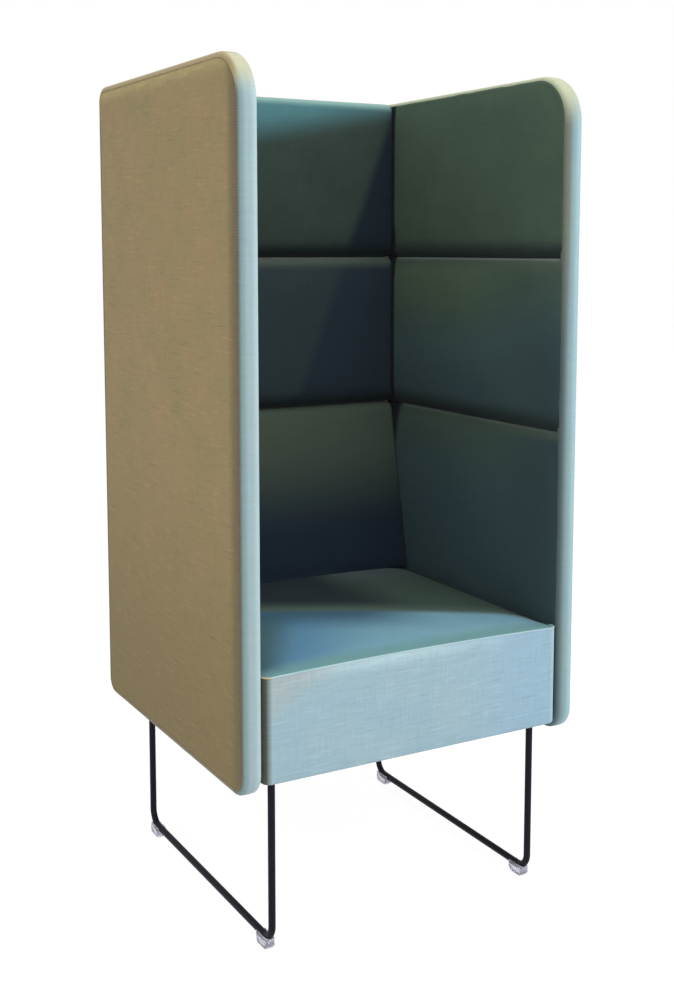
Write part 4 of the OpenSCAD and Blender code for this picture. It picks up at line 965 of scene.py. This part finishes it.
# Dust cover
# Black spunbond cloth, stretched under the rails and stapled round its edge. It is matt, with the
# small square dots that weld its fibres, and hangs a few millimetres in its middle.
DOT_PITCH = 0.003
FIBRE = 1 / 260
HELD_EDGE = 0.022
SLACK_FROM_EDGE = 0.06
SAG = 0.0035
felt, tree = blank_material("spunbond_cloth")
spot = add(tree, "ShaderNodeTexCoord", {}).outputs["UV"]
dots = add(tree, "ShaderNodeTexVoronoi", {"Vector": spot, "Scale": 1 / DOT_PITCH, "Randomness": 0.0})
fibres = add(tree, "ShaderNodeTexNoise", {"Vector": spot, "Scale": 1 / FIBRE, "Detail": 4.0})
two_shades(tree, fibres.outputs[0], "#141416", "#2a2a2e", dots.outputs[0], 0.5, 0.0006, {"Roughness": 0.85})
lo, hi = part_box("dust_cover")
a, b, threads = grid(lo, hi, [0, 0.003, 0.01], step=0.012)
a, b, rim = round_corners(a, b, lo, hi, {})
free = np.clip((rim - HELD_EDGE) / SLACK_FROM_EDGE, 0, 1)
sag = SAG * free * (2 - free) + wobble(threads, amount=0.0006, size=0.05, seed=9) * free
face = np.stack([a, b, lo.z - sag], -1)
back = np.stack([a, b, hi.z - 0.0001 - sag], -1)
dust_sheet = sew("dust_sheet", closed(face, back, threads), felt, "dust_cover")


# Sled legs
# Each is one 12 mm steel rod with two bends, welded to a flat plate. The black powder coat has a
# very fine grain and only a dull shine.
COAT_GRAIN = 1 / 1400
COAT_CLOUD = 1 / 60
powder_coat, tree = blank_material("black_powder_coat")
spot = add(tree, "ShaderNodeTexCoord", {}).outputs["Object"]
grain = add(tree, "ShaderNodeTexNoise", {"Vector": spot, "Scale": 1 / COAT_GRAIN, "Detail": 2.0})
patch = add(tree, "ShaderNodeTexNoise", {"Vector": spot, "Scale": 1 / COAT_CLOUD, "Detail": 3.0})
two_shades(tree, patch.outputs[0], "#0e0c18", "#171524", grain.outputs[0], 0.25, 0.0003,
           {"Roughness": 0.55, "IOR": 1.5, "Specular IOR Level": 0.15})
dress(powder_coat, "left_leg_rod", "right_leg_rod", "left_leg_plate", "right_leg_plate")


# Glides
# Clear moulded polycarbonate with a pale lavender tint, snapped onto the runners from below. It
# lets light through, a little clouded, and its moulded edges are round.
FLOW = 1 / 240
MOULD_MESH = 0.0008
clear_plastic, tree = blank_material("clear_polycarbonate")
spot = add(tree, "ShaderNodeTexCoord", {}).outputs["Object"]
flow = add(tree, "ShaderNodeTexNoise", {"Vector": spot, "Scale": 1 / FLOW, "Detail": 2.0})
two_shades(tree, flow.outputs[0], "#d3d8ec", "#eceef7", flow.outputs[0], 0.15, 0.0004,
           {"Roughness": 0.28, "IOR": 1.58, "Transmission Weight": 0.8})
for place in ("front_left", "front_right", "rear_left", "rear_right"):
    dress(clear_plastic, "glide_" + place)
    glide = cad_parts["glide_" + place]
    fine_mesh = glide.modifiers.new("fine_mesh", "REMESH")
    fine_mesh.mode = "VOXEL"
    fine_mesh.voxel_size = MOULD_MESH
    fine_mesh.use_smooth_shade = True
    moulded = glide.modifiers.new("moulded_edges", "SMOOTH")
    moulded.factor = 0.5
    moulded.iterations = 24


# Fasteners
# Black oxide screws in brass inserts hold the legs, zinc-plated bolts and nuts hold the seat and
# the screens, and nylon clips hold the pads.
def small_part(name, pale, dark, mark, metallic, rough):
    """A plated, turned or moulded small part with uneven colour and marks of one size."""
    made, tree = blank_material(name)
    spot = add(tree, "ShaderNodeTexCoord", {}).outputs["Object"]
    marks = add(tree, "ShaderNodeTexNoise", {"Vector": spot, "Scale": 1 / mark, "Detail": 3.0})
    two_shades(tree, marks.outputs[0], pale, dark, marks.outputs[0], 0.2, 0.0002,
               {"Roughness": rough, "Metallic": metallic})
    return made


dress(small_part("black_oxide_steel", "#2c2c31", "#18181b", mark=1 / 500, metallic=0.9, rough=0.45),
      "leg_screws")
dress(small_part("turned_brass", "#caa862", "#a98644", mark=1 / 700, metallic=1.0, rough=0.35), "leg_inserts")
dress(small_part("zinc_plate", "#b9bbbf", "#8f9297", mark=1 / 400, metallic=1.0, rough=0.4), "seat_bolts",
      "seat_washers", "seat_tee_nuts", "screen_bolts", "barrel_nuts")
dress(small_part("white_nylon", "#e9e9e4", "#d8d8d2", mark=1 / 300, metallic=0.0, rough=0.5), "pad_clips")
